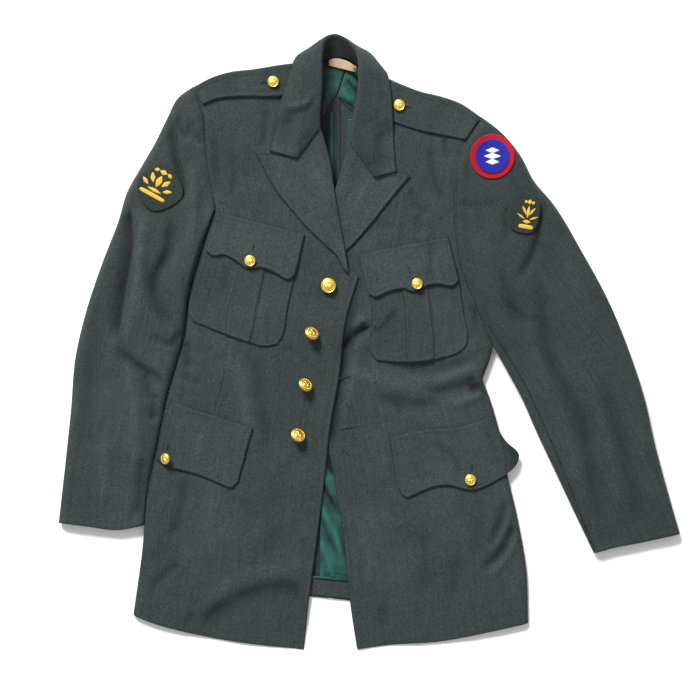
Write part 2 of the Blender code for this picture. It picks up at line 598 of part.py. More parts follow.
def bent(first, middle, last, columns, ends):
    """Rows of points through first, middle and last. The rows at ends run straight to the middle."""
    v = np.linspace(0, 1, columns)[None, :, None]
    f, m, e = (p[:, None] for p in (first, middle, last))
    curved = f * (1 - v) * (1 - 2 * v) + m * 4 * v * (1 - v) + e * v * (2 * v - 1)
    straight = np.where(v < 0.5, f + (m - f) * 2 * v, m + (e - m) * (2 * v - 1))
    return curved + (straight - curved) * ends[:, None, None]


def make_collar(carriers):
    """The collar's fall and its stand."""
    rows, columns = 28, 7
    fold, middle, edge = (curve_at(t, rows) for t in (FALL_FOLD, FALL_MIDDLE, FALL_EDGE))
    place = np.linspace(0, len(FALL_FOLD) - 1, rows + 1)
    ends = np.clip(1 - np.minimum(place, place[-1] - place), 0, 1)
    grid = bent(fold, middle, edge, columns, ends)
    settled = (np.minimum(place, place[-1] - place) < COLLAR_SETTLED)[:, None]
    below = level_below(grid, carriers)
    low = np.where(below > 0, np.maximum(grid[..., 2], below + 2 * LIFT), grid[..., 2])
    grid[..., 2] = np.where(settled, low, grid[..., 2])
    n = normals(grid)
    n = n * np.sign(n[0, columns // 2, 2])
    grid[..., 2] = np.maximum(grid[..., 2], FACED * np.maximum(-n[..., 2], 0) + LIFT)
    wall("collar_fall", grid + FACED * n, grid, "serge")
    low, high = curve_at(STAND_SEAM, 20), curve_at(STAND_FOLD, 20)
    v = np.linspace(0, 1, 4)[None, :, None]
    stand = low[:, None] * (1 - v) + high[:, None] * v
    n = normals(stand)
    n = n * np.sign(n[len(n) // 2, 1, 2])
    wall("collar_stand", stand + CLOTH * n, stand, "serge")


def curve_at(table, count):
    """count + 1 points of a curve through a table, the same number of them between each two of its rows."""
    p = np.array(table, float)
    slope = np.gradient(p, axis=0)
    at = np.linspace(0, len(p) - 1, count + 1)
    k = np.minimum(at.astype(int), len(p) - 2)
    t = (at - k)[:, None]
    return (
        (2 * t**3 - 3 * t**2 + 1) * p[k]
        + (t**3 - 2 * t**2 + t) * slope[k]
        + (3 * t**2 - 2 * t**3) * p[k + 1]
        + (t**3 - t**2) * slope[k + 1]
    )


def make_pocket(side, tables, pleat, carriers):
    """A patch pocket with a box pleat raised down its middle."""
    low, high, first, last = tables
    start, stop = pleat
    middle = (start + stop) / 2
    shares = (0, start / 2, start - PLEAT_STEP, start, middle, stop, stop + PLEAT_STEP, (1 + stop) / 2, 1)
    grid = patch(curve(first, 6), curve(last, 6), curve(low, 40), curve(high, 40))
    grid = np.array([spread(line, shares) for line in grid])
    thick = np.full(grid.shape[:2], CLOTH)
    thick[:, 3:6] += PLEAT_RAISE
    return leaf("pocket_chest_" + side, grid, carriers, thick, "serge")


def make_flap(name, high, low, carriers, end=None):
    """A pocket flap: a sewn upper edge and a shaped free one."""
    columns, rows = 12, 3
    last = curve(end[::-1] if end else (low[-1], high[-1]), rows)
    grid = patch(curve((low[0], high[0]), rows), last, curve(low, columns), curve(high, columns))
    return leaf("flap_" + name, grid, carriers, FACED, "serge")


def make_button(name, x, y, radius, lean, heading, carriers):
    """A domed button on a shank, standing on what is under it."""
    section = np.array(BUTTON_SECTION) * radius
    angles = np.linspace(0, 2 * math.pi, BUTTON_SIDES, endpoint=False)
    ring = np.stack([np.cos(angles), np.sin(angles)], axis=1)
    points = [(0, 0, BUTTON_DOME * radius)]
    for r, z in section:
        points += [(r * c, r * s, z) for c, s in ring]
    points.append((0, 0, section[-1, 1]))
    faces, n = [], BUTTON_SIDES
    for k in range(n):
        nxt = (k + 1) % n
        faces.append((0, 1 + k, 1 + nxt))
        for m in range(len(section) - 1):
            a, b = 1 + m * n, 1 + (m + 1) * n
            faces += [(a + k, b + k, b + nxt), (a + k, b + nxt, a + nxt)]
        last = 1 + (len(section) - 1) * n
        faces.append((last + nxt, last + k, len(points) - 1))
    p = np.array(points)
    a, h = math.radians(lean), math.radians(heading)
    out, aside = np.array([math.cos(h), math.sin(h)]), np.array([-math.sin(h), math.cos(h)])
    along, up = p[:, :2] @ out, p[:, 2]
    along, up = along * math.cos(a) + up * math.sin(a), up * math.cos(a) - along * math.sin(a)
    p[:, :2] = along[:, None] * out + (p[:, :2] @ aside)[:, None] * aside + (x, y)
    under = [max([t for t in (c.top(*q) for c in carriers) if t is not None], default=0) for q in p[:, :2]]
    p[:, 2] = up - min(up - under) + SEAM
    return Piece(name, p, faces, "brass")


def make_patch(name, x, y, half_width, half_height, turned, carriers):
    """An embroidered patch: a rounded plate on the sleeve."""
    a = np.linspace(0, 2 * math.pi, PATCH_SIDES, endpoint=False)
    power = 0.62
    rim = np.stack([np.sign(np.cos(a)) * np.abs(np.cos(a)) ** power * half_width,
                    np.sign(np.sin(a)) * np.abs(np.sin(a)) ** power * half_height], axis=1)
    t = math.radians(turned)
    rim = rim @ np.array([[math.cos(t), math.sin(t)], [-math.sin(t), math.cos(t)]])
    plan = np.vstack([[(0, 0)], rim * 0.6, rim]) + (x, y)
    highest = []
    for p in plan:
        round_it = [p + d for d in ((0, 0), (6, 0), (-6, 0), (0, 6), (0, -6), (-4, -4))]
        hits = [c.top(*q) for q in round_it for c in carriers]
        highest.append(max([h for h in hits if h is not None], default=np.nan) + LIFT)
    highest = np.where(np.isnan(highest), np.nanmin(highest), highest)
    low = np.column_stack([plan, highest])
    n, count = PATCH_SIDES, len(plan)
    faces = []
    for k in range(n):
        nxt = (k + 1) % n
        a0, b0, a1, b1 = 1 + k, 1 + nxt, 1 + n + k, 1 + n + nxt
        faces += [(0, a0, b0), (a0, a1, b1), (a0, b1, b0)]
        faces += [(count, count + b0, count + a0), (count + a0, count + b1, count + a1)]
        faces += [(count + a0, count + b0, count + b1), (a1, count + a1, count + b1), (a1, count + b1, b1)]
    points = np.vstack([low + (0, 0, BADGE), low])
    return Piece(name, points, faces, "embroidery" if "shoulder" in name else "badge_cloth")


def material(name):
    """A Principled finish from the table of colours."""
    base, metallic, roughness = COLOURS[name]
    made = bpy.data.materials.new(name)
    made.use_nodes = True
    shader = made.node_tree.nodes["Principled BSDF"]
    shader.inputs["Base Color"].default_value = (*base, 1.0)
    shader.inputs["Metallic"].default_value = metallic
    shader.inputs["Roughness"].default_value = roughness
    return made


class Half:
    """One side's body and sleeve: its tables, and where its armhole lies once its front is made."""

    def __init__(self, name, way, rows, **tables):
        self.name, self.way = name, way
        self.side_rows, self.waist_rows, self.armhole_rows = rows
        self.armhole_line = None
        for key, table in tables.items():
            setattr(self, key, table)

    def outer_edge(self):
        below_waist = self.side_rows - self.waist_rows
        return runs(self.side, below_waist, self.waist, self.waist_rows, self.armhole, self.armhole_rows)


RIGHT = Half(
    "right", -1, (SIDE_ROWS_RIGHT, WAIST_ROWS_RIGHT, ARMHOLE_ROWS_RIGHT),
    edge=RIGHT_EDGE, roll=RIGHT_ROLL, neck=RIGHT_NECK,
    side=RIGHT_SIDE, waist=RIGHT_WAIST, armhole=RIGHT_ARMHOLE,
    shoulder=RIGHT_SHOULDER, hem=RIGHT_HEM, back_hem=BACK_HEM_RIGHT, back_neck=BACK_NECK_RIGHT,
    sleeve_outer=SLEEVE_OUTER_RIGHT, sleeve_inner=SLEEVE_INNER_RIGHT, cuff=CUFF_RIGHT,
)
LEFT = Half(
    "left", 1, (SIDE_ROWS_LEFT, WAIST_ROWS_LEFT, ARMHOLE_ROWS_LEFT),
    edge=LEFT_EDGE, roll=LEFT_ROLL, neck=LEFT_NECK,
    side=LEFT_SIDE, waist=LEFT_WAIST, armhole=LEFT_ARMHOLE,
    shoulder=LEFT_SHOULDER, hem=LEFT_HEM, back_hem=BACK_HEM_LEFT, back_neck=BACK_NECK_LEFT,
    sleeve_outer=SLEEVE_OUTER_LEFT, sleeve_inner=SLEEVE_INNER_LEFT, cuff=CUFF_LEFT,
)


def make_inside(backs):
    """What lies on the inner face of the backs."""
    yokes = [
        leaf("lining_yoke_right", widen(YOKE_RIGHT_UP, YOKE_RIGHT_LOW, 9, 4), backs, SATIN, "satin"),
        leaf("lining_yoke_left", widen(YOKE_LEFT_UP, YOKE_LEFT_LOW, 9, 4), backs, SATIN, "satin"),
    ]
    skirt = leaf("lining_skirt", widen(*SKIRT_LINING, 5, 8), backs, SATIN, "satin")
    hem = np.vstack([curve(BACK_HEM_RIGHT[::-1], 7)[1:-1], curve(BACK_HEM_LEFT, 7)[:-1]])
    hem = np.stack([hem + (0, HEM_FACING_INSET), hem + (0, HEM_FACING_INSET + HEM_FACING_DEPTH)])
    facing = leaf("facing_hem", hem, backs, SATIN, "serge")
    bindings = []
    for side, line in (("right", BINDING_RIGHT), ("left", BINDING_LEFT)):
        line = curve(line, 3)
        grid = np.stack([line - (BINDING_WIDTH / 2, 0), line + (BINDING_WIDTH / 2, 0)], axis=1)
        bindings.append(leaf("seam_binding_" + side, grid, backs, SATIN, "satin"))
    return yokes + [skirt, facing, *bindings]


def build():
    """Makes every piece, lowest first, and then the objects."""
    backs = [make_back(RIGHT), make_back(LEFT)]
    inside = backs + make_inside(backs)

    front_left = make_front(LEFT, inside)
    lapel_left = make_lapel("left", LAPEL_LEFT, [front_left])
    front_right = make_front(RIGHT, inside + [front_left, lapel_left])
    lapel_right = make_lapel("right", LAPEL_RIGHT, [front_right, front_left, lapel_left])
    fronts = [front_left, front_right]
    sleeves = [make_sleeve(RIGHT, front_right), make_sleeve(LEFT, front_left)]

    straps = []
    for side, ends in (("right", (STRAP_RIGHT_TOP, STRAP_RIGHT_LOW)), ("left", (STRAP_LEFT_TOP, STRAP_LEFT_LOW))):
        straps.append(leaf("shoulder_strap_" + side, widen(*ends, 10, 3), fronts, FACED, "serge"))
    make_collar(fronts + [lapel_left, lapel_right] + straps)
    leaf("label", widen(*LABEL, 5, 2), inside + [Piece.made["collar_stand"]], SATIN, "label")

    pocket_right = make_pocket("right", POCKET_RIGHT, PLEAT_RIGHT, fronts)
    pocket_left = make_pocket("left", POCKET_LEFT, PLEAT_LEFT, fronts)
    make_flap("chest_right", FLAP_CHEST_RIGHT_TOP, FLAP_CHEST_RIGHT_LOW, fronts + [pocket_right])
    make_flap("chest_left", FLAP_CHEST_LEFT_TOP, FLAP_CHEST_LEFT_LOW, fronts + [pocket_left])
    make_flap("hip_right", FLAP_HIP_RIGHT_TOP, FLAP_HIP_RIGHT_LOW, fronts)
    make_flap("hip_left", FLAP_HIP_LEFT_TOP, FLAP_HIP_LEFT_LOW, fronts, FLAP_HIP_LEFT_END)

    cloth = list(Piece.made.values())
    for name, *place in BUTTONS:
        make_button("button_" + name, *place, cloth)
    for name, *place in PATCHES:
        make_patch(name, *place, sleeves + [front_left])
    finish(Piece.made.values())


def widen(first, last, count, rows):
    """A grid of rows from the curve first to the curve last."""
    a, b = curve(first, count), curve(last, count)
    v = np.linspace(0, 1, rows + 1)[:, None, None]
    return a[None] * (1 - v) + b[None] * v


def finish(pieces):
    """Removes what the scene holds and adds one object a piece, centred over the origin."""
    for o in list(bpy.data.objects):
        bpy.data.objects.remove(o)
    every = np.vstack([p.points for p in pieces])
    shift = np.append((every.min(axis=0) + every.max(axis=0))[:2] / 2, every[:, 2].min())
    finishes = {}
    for p in pieces:
        mesh = bpy.data.meshes.new(p.name)
        mesh.from_pydata(((p.points - shift) * MM).tolist(), [], p.faces)
        mesh.update()
        if p.material not in finishes:
            finishes[p.material] = material(p.material)
        mesh.materials.append(finishes[p.material])
        bpy.context.scene.collection.objects.link(bpy.data.objects.new(p.name, mesh))


build()
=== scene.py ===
"""A military dress tunic as it lies on its back: the finished cloth, stitching, buttons and badges.

Every sheet of cloth is a four-sided grid in plan, worked out from short tables of points in millimetres
(across X, up Y), and its level comes from a rule, from what it lies on and from listed folds. Sides
are named as the wearer has them, so the right front is at -X, and it lies over the left one.
"""

import logging
import math
from dataclasses import dataclass, replace
from enum import Enum
from typing import Callable, Iterable, Sequence

import bpy
import numpy as np
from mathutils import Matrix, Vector


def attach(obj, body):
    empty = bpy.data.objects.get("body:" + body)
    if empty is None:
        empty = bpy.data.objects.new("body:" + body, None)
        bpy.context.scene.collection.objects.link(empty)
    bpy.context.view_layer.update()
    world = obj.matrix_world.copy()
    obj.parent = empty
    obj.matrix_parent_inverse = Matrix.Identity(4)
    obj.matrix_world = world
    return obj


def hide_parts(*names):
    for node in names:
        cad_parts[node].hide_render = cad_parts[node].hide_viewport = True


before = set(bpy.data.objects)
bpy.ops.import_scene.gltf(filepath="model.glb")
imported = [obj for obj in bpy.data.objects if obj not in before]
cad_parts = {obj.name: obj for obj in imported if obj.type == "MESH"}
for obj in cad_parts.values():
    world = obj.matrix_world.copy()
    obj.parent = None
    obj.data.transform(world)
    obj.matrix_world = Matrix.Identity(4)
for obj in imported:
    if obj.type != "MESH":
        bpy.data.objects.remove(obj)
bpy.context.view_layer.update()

LOG = logging.getLogger("tunic")

MM = 0.001
SHIFT = (0.35, 0.8171386, 0.0)  # from the tables' origin to the row frame's, in millimetres
CLOTH = 1.6  # serge of the body and the sleeves
FACED = 2.0  # two layers: lapels, collar, flaps and shoulder straps
SATIN = 1.0
POCKET, FLAP = 1.2, 1.8
BADGE = 1.3
SEAM = 0.3
LIFT = 0.35  # between a sheet and what it lies on
BULGE_SIDE, BULGE_SHOULDER = 11.0, 15.0  # how far in from a fold the cloth starts to turn down
SHOULDER_MID = 13.0
FINER = 10  # rows here for each row of the solids
TURN_STEPS = 8
TURN = np.arange(1, TURN_STEPS + 1) / TURN_STEPS * math.pi / 2  # angles of a turned edge's columns
DENSE = 12  # points for each span of a smooth line
FAR = 12.0  # from a line, where it no longer counts
NOWHERE = 99.0  # the distance from a free edge where a sheet has none
EDGE_SHADE = 0.55  # between a cloth's edge and the painted shadow line beside it
RIM_ANGLES = (45, 90, 135)  # of a sheet's rounded border
EDGE_STEPS = (0.0, 1.0, 2.2, 4.0, 5.2, 6.0, 6.8, 8.5, 11.0)  # columns beside a stitched edge
STITCH_LINE = 5  # which of them the stitches follow
SECOND_LINE = 6.6  # from a flap's top to its second line of stitches
PLEAT_RAISE = 1.0
FLAP_DEEP = 56.0

# Levels of a front's upper face, in the columns up (Y), edge, middle and side.
FRONT_LEVELS = (
    (-430, 2.0, 2.4, 8.0),
    (-372, 5.5, 8.0, 9.0),
    (-220, 7.0, 12.0, 12.0),
    (-80, 8.0, 12.5, 13.5),
    (90, 12.0, 17.0, 16.5),
    (190, 16.0, 19.5, 18.5),
    (300, 21.0, 23.5, 23.0),
    (390, 26.0, 27.0, 27.0),
)
# Level of the side seam, in the columns up (Y) and level.
SIDE_MID = ((-430, 3.6), (-372, 4.2), (-220, 6.0), (-80, 6.8), (0, 7.2), (190, 8.6))
# Level of a sleeve's upper face, in the columns share of its length and level.
SLEEVE_LEVELS = ((0.0, 25.0), (0.12, 25.0), (0.35, 21.0), (0.7, 17.0), (1.0, 14.0))
RIGHT_EDGE = (
    (-92, -429.8), (-84, -354.9), (-75.6, -290.5), (-63, -192.5), (-54.6, -115.5), (-42.7, -48.3),
    (-33, 31.5), (-15.4, 91.7),
)
RIGHT_ROLL = (
    (-15.4, 91.7), (-32.2, 112.7), (-39.9, 137.9), (-46.2, 176.4), (-53.2, 216.3), (-60.2, 255.5),
    (-71.4, 296.1),
)
RIGHT_NECK = ((-71.4, 296.1), (-86.8, 322.7), (-95.2, 359.1), (-95.2, 392))
RIGHT_SIDE = (
    (-330.4, -381.5), (-317.8, -290.5), (-310.8, -213.5), (-296.8, -146.3), (-281.4, -70.7),
    (-259, 9.1),
)
RIGHT_WAIST = ((-259, 9.1), (-250.9, 72.1), (-235.2, 129.5), (-214.9, 185.5))
RIGHT_ARMHOLE = ((-214.9, 185.5), (-222.6, 230.3), (-228.2, 280.7), (-231.7, 322.7), (-245.7, 357))
RIGHT_SHOULDER = (
    (-95.2, 392), (-131.6, 387.1), (-161, 382.2), (-191.8, 378.7), (-218.4, 371), (-245.7, 357),
)
RIGHT_HEM = (
    (-92, -429.8), (-155.4, -423.5), (-226.8, -412.3), (-274.4, -401.1), (-306.6, -391.3),
    (-330.4, -381.5),
)

LEFT_EDGE = (
    (-16.1, -429.8), (-25.2, -368.9), (-33.6, -284.9), (-45.8, -205.1), (-57, -140.7),
    (-68.6, -80.5), (-81.2, 3.5), (-85.4, 104.3),
)
LEFT_ROLL = (
    (-85.4, 104.3), (-65.8, 143.5), (-53.2, 178.5), (-44.8, 207.2), (-36.4, 234.5), (-23.1, 275.1),
)
LEFT_NECK = ((-23.1, 275.1), (-2.8, 294.7), (11.2, 322.7), (15.4, 350.7), (9.8, 377.3))
LEFT_SIDE = (
    (223.3, -392.7), (220.5, -318.5), (210, -255.5), (193.2, -181.3), (182, -122.5), (168, -74.9),
    (158.9, -51.1),
)
LEFT_WAIST = ((158.9, -51.1), (168, -27.3), (173.6, -5.6))
LEFT_ARMHOLE = (
    (173.6, -5.6), (146.3, 58.1), (128.8, 101.5), (121.1, 150.5), (119.7, 208.6), (128.8, 269.5),
    (156.8, 315),
)
LEFT_SHOULDER = (
    (9.8, 377.3), (43.4, 361.9), (74.2, 350.3), (99.4, 344.4), (127.4, 334.6), (156.8, 315),
)
LEFT_HEM = ((-16.1, -429.8), (25.2, -424.1), (100.8, -418.5), (168, -405.3), (223.3, -392.7))

BACK_SEAM = ((-53.2, -358.4), (-46.2, -150.5), (-39.2, 129.5), (-39.2, 401.8))
BACK_HEM_RIGHT = ((-53.2, -358.4), (-84, -355.6), (-208.6, -364.7), (-330.4, -381.5))
BACK_HEM_LEFT = ((-53.2, -358.4), (-26.6, -361.2), (99.4, -374.5), (223.3, -392.7))
BACK_NECK_RIGHT = ((-39.2, 401.8), (-65.8, 396.2), (-95.2, 392))
BACK_NECK_LEFT = ((-39.2, 401.8), (-23.8, 396.9), (-8.4, 387.1), (9.8, 377.3))

SLEEVE_OUTER_RIGHT = (
    (-245.7, 357), (-266, 342.3), (-282.8, 311.5), (-299.6, 277.9), (-319.2, 244.3),
    (-338.1, 210.7), (-350, 171.5), (-373.8, 109.9), (-396.2, 42.7), (-411.6, -24.5),
    (-417.2, -91.7), (-424.2, -158.9), (-434.7, -252),
)
SLEEVE_INNER_RIGHT = (
    (-214.9, 185.5), (-235.2, 129.5), (-250.6, 72.1), (-259, 9.1), (-281.4, -70.7),
    (-296.8, -146.3), (-310.8, -213.5), (-314.3, -255.5),
)
CUFF_RIGHT = ((-434.7, -252), (-393.4, -256.9), (-354.2, -261.8), (-314.3, -255.5))
SLEEVE_OUTER_LEFT = (
    (156.8, 315), (183.4, 294.7), (212.8, 259.7), (229.6, 227.5), (257.6, 193.9), (298.2, 126.7),
    (334.6, 59.5), (362.6, -7.7), (385, -74.9), (400.4, -142.1), (418.6, -209.3), (435.4, -267.4),
)
SLEEVE_INNER_LEFT = (
    (173.6, -5.6), (193.2, -41.3), (211.4, -74.9), (233.8, -125.3), (257.6, -175.7),
    (281.4, -226.1), (314.2, -294.7),
)
CUFF_LEFT = ((435.4, -267.4), (381.6, -279.3), (340.2, -287.3), (314.2, -294.7))

LAPEL_RIGHT = (
    (  # roll line
        (-30.8, 99.4), (-37.4, 137.5), (-44.8, 176.4), (-51.1, 216.3), (-57.4, 255.5),
        (-68.6, 296.1),
    ),
    (  # front edge
        (-35.7, 104.3), (-43.4, 119.7), (-59.5, 135.1), (-81.2, 156.1), (-106.4, 183.7),
        (-129.1, 212.5), (-158.2, 266),
    ),
    ((-158.2, 266), (-138.6, 267.4), (-99.4, 258.3)),  # notch
    ((-99.4, 258.3), (-84, 279.3), (-68.6, 296.1)),  # seam to the collar
)
LAPEL_LEFT = (
    (  # roll line
        (-88.2, 105.7), (-67.9, 143.5), (-55.3, 178.5), (-46.9, 207.2), (-39.2, 231.7),
        (-25.9, 276.5),
    ),
    (  # front edge
        (-81.2, 100.1), (-58.8, 111.3), (-33.6, 128.1), (-3.8, 158.9), (17.6, 185.5),
        (39.2, 212.1), (56.7, 232.4),
    ),
    ((56.7, 232.4), (39.2, 235.9), (7, 231.7)),  # notch
    ((7, 231.7), (-11.2, 252.7), (-25.9, 276.5)),  # seam to the collar
)

# The collar's fall at stations from the right tip round the neck to the left tip. Its fold, its middle and
# its free edge have the columns across (X), up (Y) and level (Z).
FALL_FOLD = (
    (-68.6, 296.1, 29), (-70, 312.9, 33), (-70.6, 331.1, 36), (-70.7, 361.9, 38),
    (-69.3, 395.5, 35), (-64.4, 420, 25), (-47.6, 429.1, 16), (-26.6, 418.6, 21),
    (-12.3, 399.7, 33), (-10.6, 378.7, 38), (-12.6, 346.5, 38), (-17.5, 312.9, 36),
    (-21.7, 293.3, 33), (-26.6, 276.5, 30),
)
FALL_MIDDLE = (
    (-99.4, 257.2, 28), (-99.4, 290.5, 33), (-97.3, 321.3, 35), (-92.4, 357.7, 37),
    (-87.5, 399.7, 31), (-78.4, 412.3, 15), (-46.9, 423.5, 6), (-18.2, 410.9, 10),
    (2.1, 401.1, 21), (8.4, 381.5, 34), (8.4, 347.9, 36), (7.7, 305.9, 34), (7, 266.7, 32),
    (7, 230.6, 28),
)
FALL_EDGE = (
    (-137.9, 266.7, 24), (-132.3, 293.3, 25), (-126, 319.9, 26), (-114.1, 357.7, 28),
    (-100.1, 397.6, 21), (-75.6, 402.5, 4.5), (-47.6, 405.3, 3), (-19.6, 401.1, 3.6),
    (3.5, 389.9, 8), (22.4, 375.9, 24), (28.7, 350.7, 29), (32.2, 310.1, 28), (34.3, 272.3, 26),
    (36.8, 237.6, 24),
)
# The collar's stand, from its seam on the neck to its fold.
STAND_SEAM = (
    (-79.8, 317.1, 22), (-91, 350.7, 22), (-90.3, 381.5, 17), (-79.8, 393.4, 8),
    (-61.6, 395.8, 2.6), (-39.2, 399.4, 2.4), (-23.8, 394.4, 2.6), (-9.8, 383.6, 7),
    (4.2, 371.7, 16), (10.5, 349.3, 22), (5.6, 321.3, 23), (-8.4, 296.1, 23),
)
STAND_FOLD = (
    (-69.2, 319.9, 33), (-68, 353.5, 35.2), (-67.8, 384.3, 33.5), (-65.8, 405.3, 27.5),
    (-60.2, 418.6, 19.2), (-46.2, 425.6, 13.4), (-30.1, 417.9, 16.8), (-17.5, 403.9, 25.5),
    (-13.4, 384.3, 33.2), (-14.6, 350.7, 35), (-19.6, 322.7, 33.5), (-23, 297.5, 31),
)

STRAP_RIGHT_TOP = ((-242.9, 354.2), (-217.7, 367.5), (-161, 378), (-100.8, 387.8))
STRAP_RIGHT_LOW = ((-231.7, 331.8), (-217, 338.1), (-180.6, 342.9), (-143.5, 342.3), (-99.4, 346.5))
STRAP_LEFT_TOP = ((19.6, 366.8), (43.4, 357), (74.2, 346.5), (117.6, 334.2), (154, 312.5))
STRAP_LEFT_LOW = ((19.6, 314.3), (32.2, 308.7), (64.4, 297.5), (103.6, 289.1), (133.7, 282.8))

POCKET_RIGHT = (
    ((-245.7, 30.1), (-205.8, 14), (-172.2, 2.1), (-147, -4.9), (-128.8, -2.1)),  # lower edge
    ((-226.8, 139.3), (-166.6, 123.9), (-100.8, 109.9)),  # upper edge
    ((-245.7, 30.1), (-251.6, 42.7), (-250.6, 55.3), (-239.4, 93.1), (-226.8, 139.3)),  # edge at -X
    ((-128.8, -2.1), (-122.1, 7.7), (-114.8, 45.5), (-100.8, 109.9)),  # edge at +X
)
POCKET_LEFT = (
    (  # lower edge
        (11.2, -24.5), (49.7, -27), (86, -24.1), (111.3, -18.6), (123.9, -13.9), (131, -8.5),
    ),
    ((-4.2, 98.7), (60.2, 101.5), (121.8, 107.1)),  # upper edge
    ((11.2, -24.5), (2.8, -13.3), (3.5, 10.5), (4.9, 45.5), (-4.2, 98.7)),  # edge at -X
    ((131, -8.5), (136.1, -1), (137.2, 9.1), (131.6, 42.7), (121.8, 107.1)),  # edge at +X
)

FLAP_CHEST_RIGHT_TOP = ((-212.1, 182.7), (-152.6, 168), (-90.4, 151.1))
FLAP_CHEST_RIGHT_LOW = (
    (-226.8, 128.1), (-219.8, 122.1), (-201.6, 122.9), (-186.2, 114.8), (-169.4, 103.6),
    (-149.8, 105), (-128.8, 96.6), (-112, 88.5), (-103.9, 94.5),
)
FLAP_CHEST_LEFT_TOP = ((-14.6, 123.9), (46.2, 135.8), (109.8, 147.1))
FLAP_CHEST_LEFT_LOW = (
    (-1.1, 70), (5.6, 64.4), (26.6, 71.4), (46.2, 75.9), (64.4, 71.7), (81.2, 80.1), (96.6, 82.2),
    (116.8, 79.8), (124.3, 86.1),
)
FLAP_HIP_RIGHT_TOP = ((-277.2, -81.2), (-221.2, -99.8), (-163.1, -118.3))
FLAP_HIP_RIGHT_LOW = (
    (-296.8, -162.4), (-287, -170.8), (-263.8, -177.5), (-247.8, -181.3), (-229.6, -187.6),
    (-204.8, -198.1), (-193.2, -202.3), (-184.1, -194.6),
)
FLAP_HIP_LEFT_TOP = ((29.4, -131.7), (69, -121.8), (129.2, -116.3), (169.4, -103.6))
FLAP_HIP_LEFT_LOW = (
    (40.9, -203.7), (50.4, -215.3), (71.4, -208.3), (91, -200.9), (112, -198.9), (130.2, -203.7),
    (147, -205.4), (165.2, -198.9), (191.8, -184.1),
)
FLAP_HIP_LEFT_END = (
    (169.4, -103.6), (190.4, -137.9), (209.3, -158.9), (204.4, -172.9), (191.8, -184.1),
)

YOKE_RIGHT_UP = ((-32.9, 386.4), (-60.2, 386.4), (-88.2, 377.3), (-149.8, 361.9), (-210, 345.1))
YOKE_RIGHT_LOW = ((-45.5, 347.2), (-58.8, 325.5), (-72.8, 312.2), (-131.6, 283.5), (-205.8, 255.5))
YOKE_LEFT_UP = ((-30.1, 386), (-15.4, 375.9), (5.6, 364.7), (60.2, 338.1), (113.4, 308.7))
YOKE_LEFT_LOW = ((-43.7, 345.8), (-28, 328.3), (-15.4, 319.2), (43.4, 283.5), (106.4, 248.5))
SKIRT_LINING = (
    ((-67.2, -136.5), (35, -144.9)),  # its upper end
    ((-68.6, -330.4), (37.8, -335.3)),  # its lower end
)
BINDING_RIGHT = ((-52.5, 322.7), (-52.8, 224.7))
BINDING_LEFT = ((-25.9, 312.9), (-28, 238.7))
BINDING_WIDTH = 5.6
HEM_FACING, HEM_BINDING = (1.5, 26.5), (26.0, 28.8)  # up from the hem, at their lower and upper edges
HEM_TAPE = 0.8
LABEL = (
    ((-56.4, 395.5), (-50, 397.6), (-28, 392.3), (-17.6, 382.2)),  # its upper edge
    ((-56.4, 388.2), (-50.4, 386.7), (-36.4, 383.2), (-19, 377.3)),  # its lower edge
)

# Buttons, in the columns name, across (X), up (Y), radius, lean in degrees and heading of the lean.
BUTTONS = (
    ("front_1", *(-56.7, 79.5), 10.9, 0, 0),
    ("front_2", *(-80.4, 12.2), 10.9, 46, 47),
    ("front_3", *(-89.3, -59.5), 10.9, 46, 42),
    ("front_4", *(-99.7, -129.9), 10.9, 40, 48),
    ("strap_right", *(-133.4, 362.6), 8.1, 0, 0),
    ("strap_left", *(42, 330.1), 8.1, 0, 0),
    ("chest_right", *(-165.9, 113.8), 8.1, 0, 0),
    ("chest_left", *(66.8, 82), 8.1, 0, 0),
    ("hip_right", *(-283.9, -162.1), 8.1, 34, 188),
    ("hip_left", *(141.4, -191.7), 8.1, 0, 0),
)
BADGE_FIELD = (28.0 * 0.84, 28.0 * 0.84)  # half sizes of the round badge's inner field


Points = Sequence[Sequence[float]]


class Side(Enum):
    """The wearer's side that a piece is on."""

    RIGHT = "right"
    LEFT = "left"


class Border(Enum):
    """How a side of a sheet ends."""

    FREE = "free"
    SEWN = "sewn"


def blend(t: np.ndarray) -> tuple[np.ndarray, ...]:
    """Weights at the share t between two points: the points' own, then those of the slopes there."""
    return 2 * t**3 - 3 * t**2 + 1, 3 * t**2 - 2 * t**3, t**3 - 2 * t**2 + t, t**3 - t**2


def dense(points: Points) -> np.ndarray:
    """A smooth line through points, with DENSE points for each span, and the last one."""
    p = np.array(points, float)
    if len(p) < 3:
        return p
    step = np.linalg.norm(np.diff(p, axis=0), axis=1)
    slope = np.gradient(p, np.concatenate([[0], np.cumsum(step)]), axis=0)
    a, b, c, d = blend(np.linspace(0, 1, DENSE + 1)[:-1, None])
    spans = [
        a * p[k] + c * h * slope[k] + b * p[k + 1] + d * h * slope[k + 1]
        for k, h in enumerate(step)
    ]
    return np.vstack(spans + [p[-1:]])


def lengths(line: np.ndarray) -> np.ndarray:
    """How far along a line each of its points is."""
    return np.concatenate([[0], np.cumsum(np.linalg.norm(np.diff(line, axis=0), axis=1))])


def spread(line: np.ndarray, shares: np.ndarray) -> np.ndarray:
    """The points of a line at shares of its length."""
    along = lengths(line)
    at = np.asarray(shares) * along[-1]
    return np.stack([np.interp(at, along, line[:, k]) for k in range(line.shape[1])], axis=1)


def curve(points: Points, count: int) -> np.ndarray:
    """count + 1 points evenly spaced along a smooth line through points."""
    return spread(dense(points), np.linspace(0, 1, count + 1))


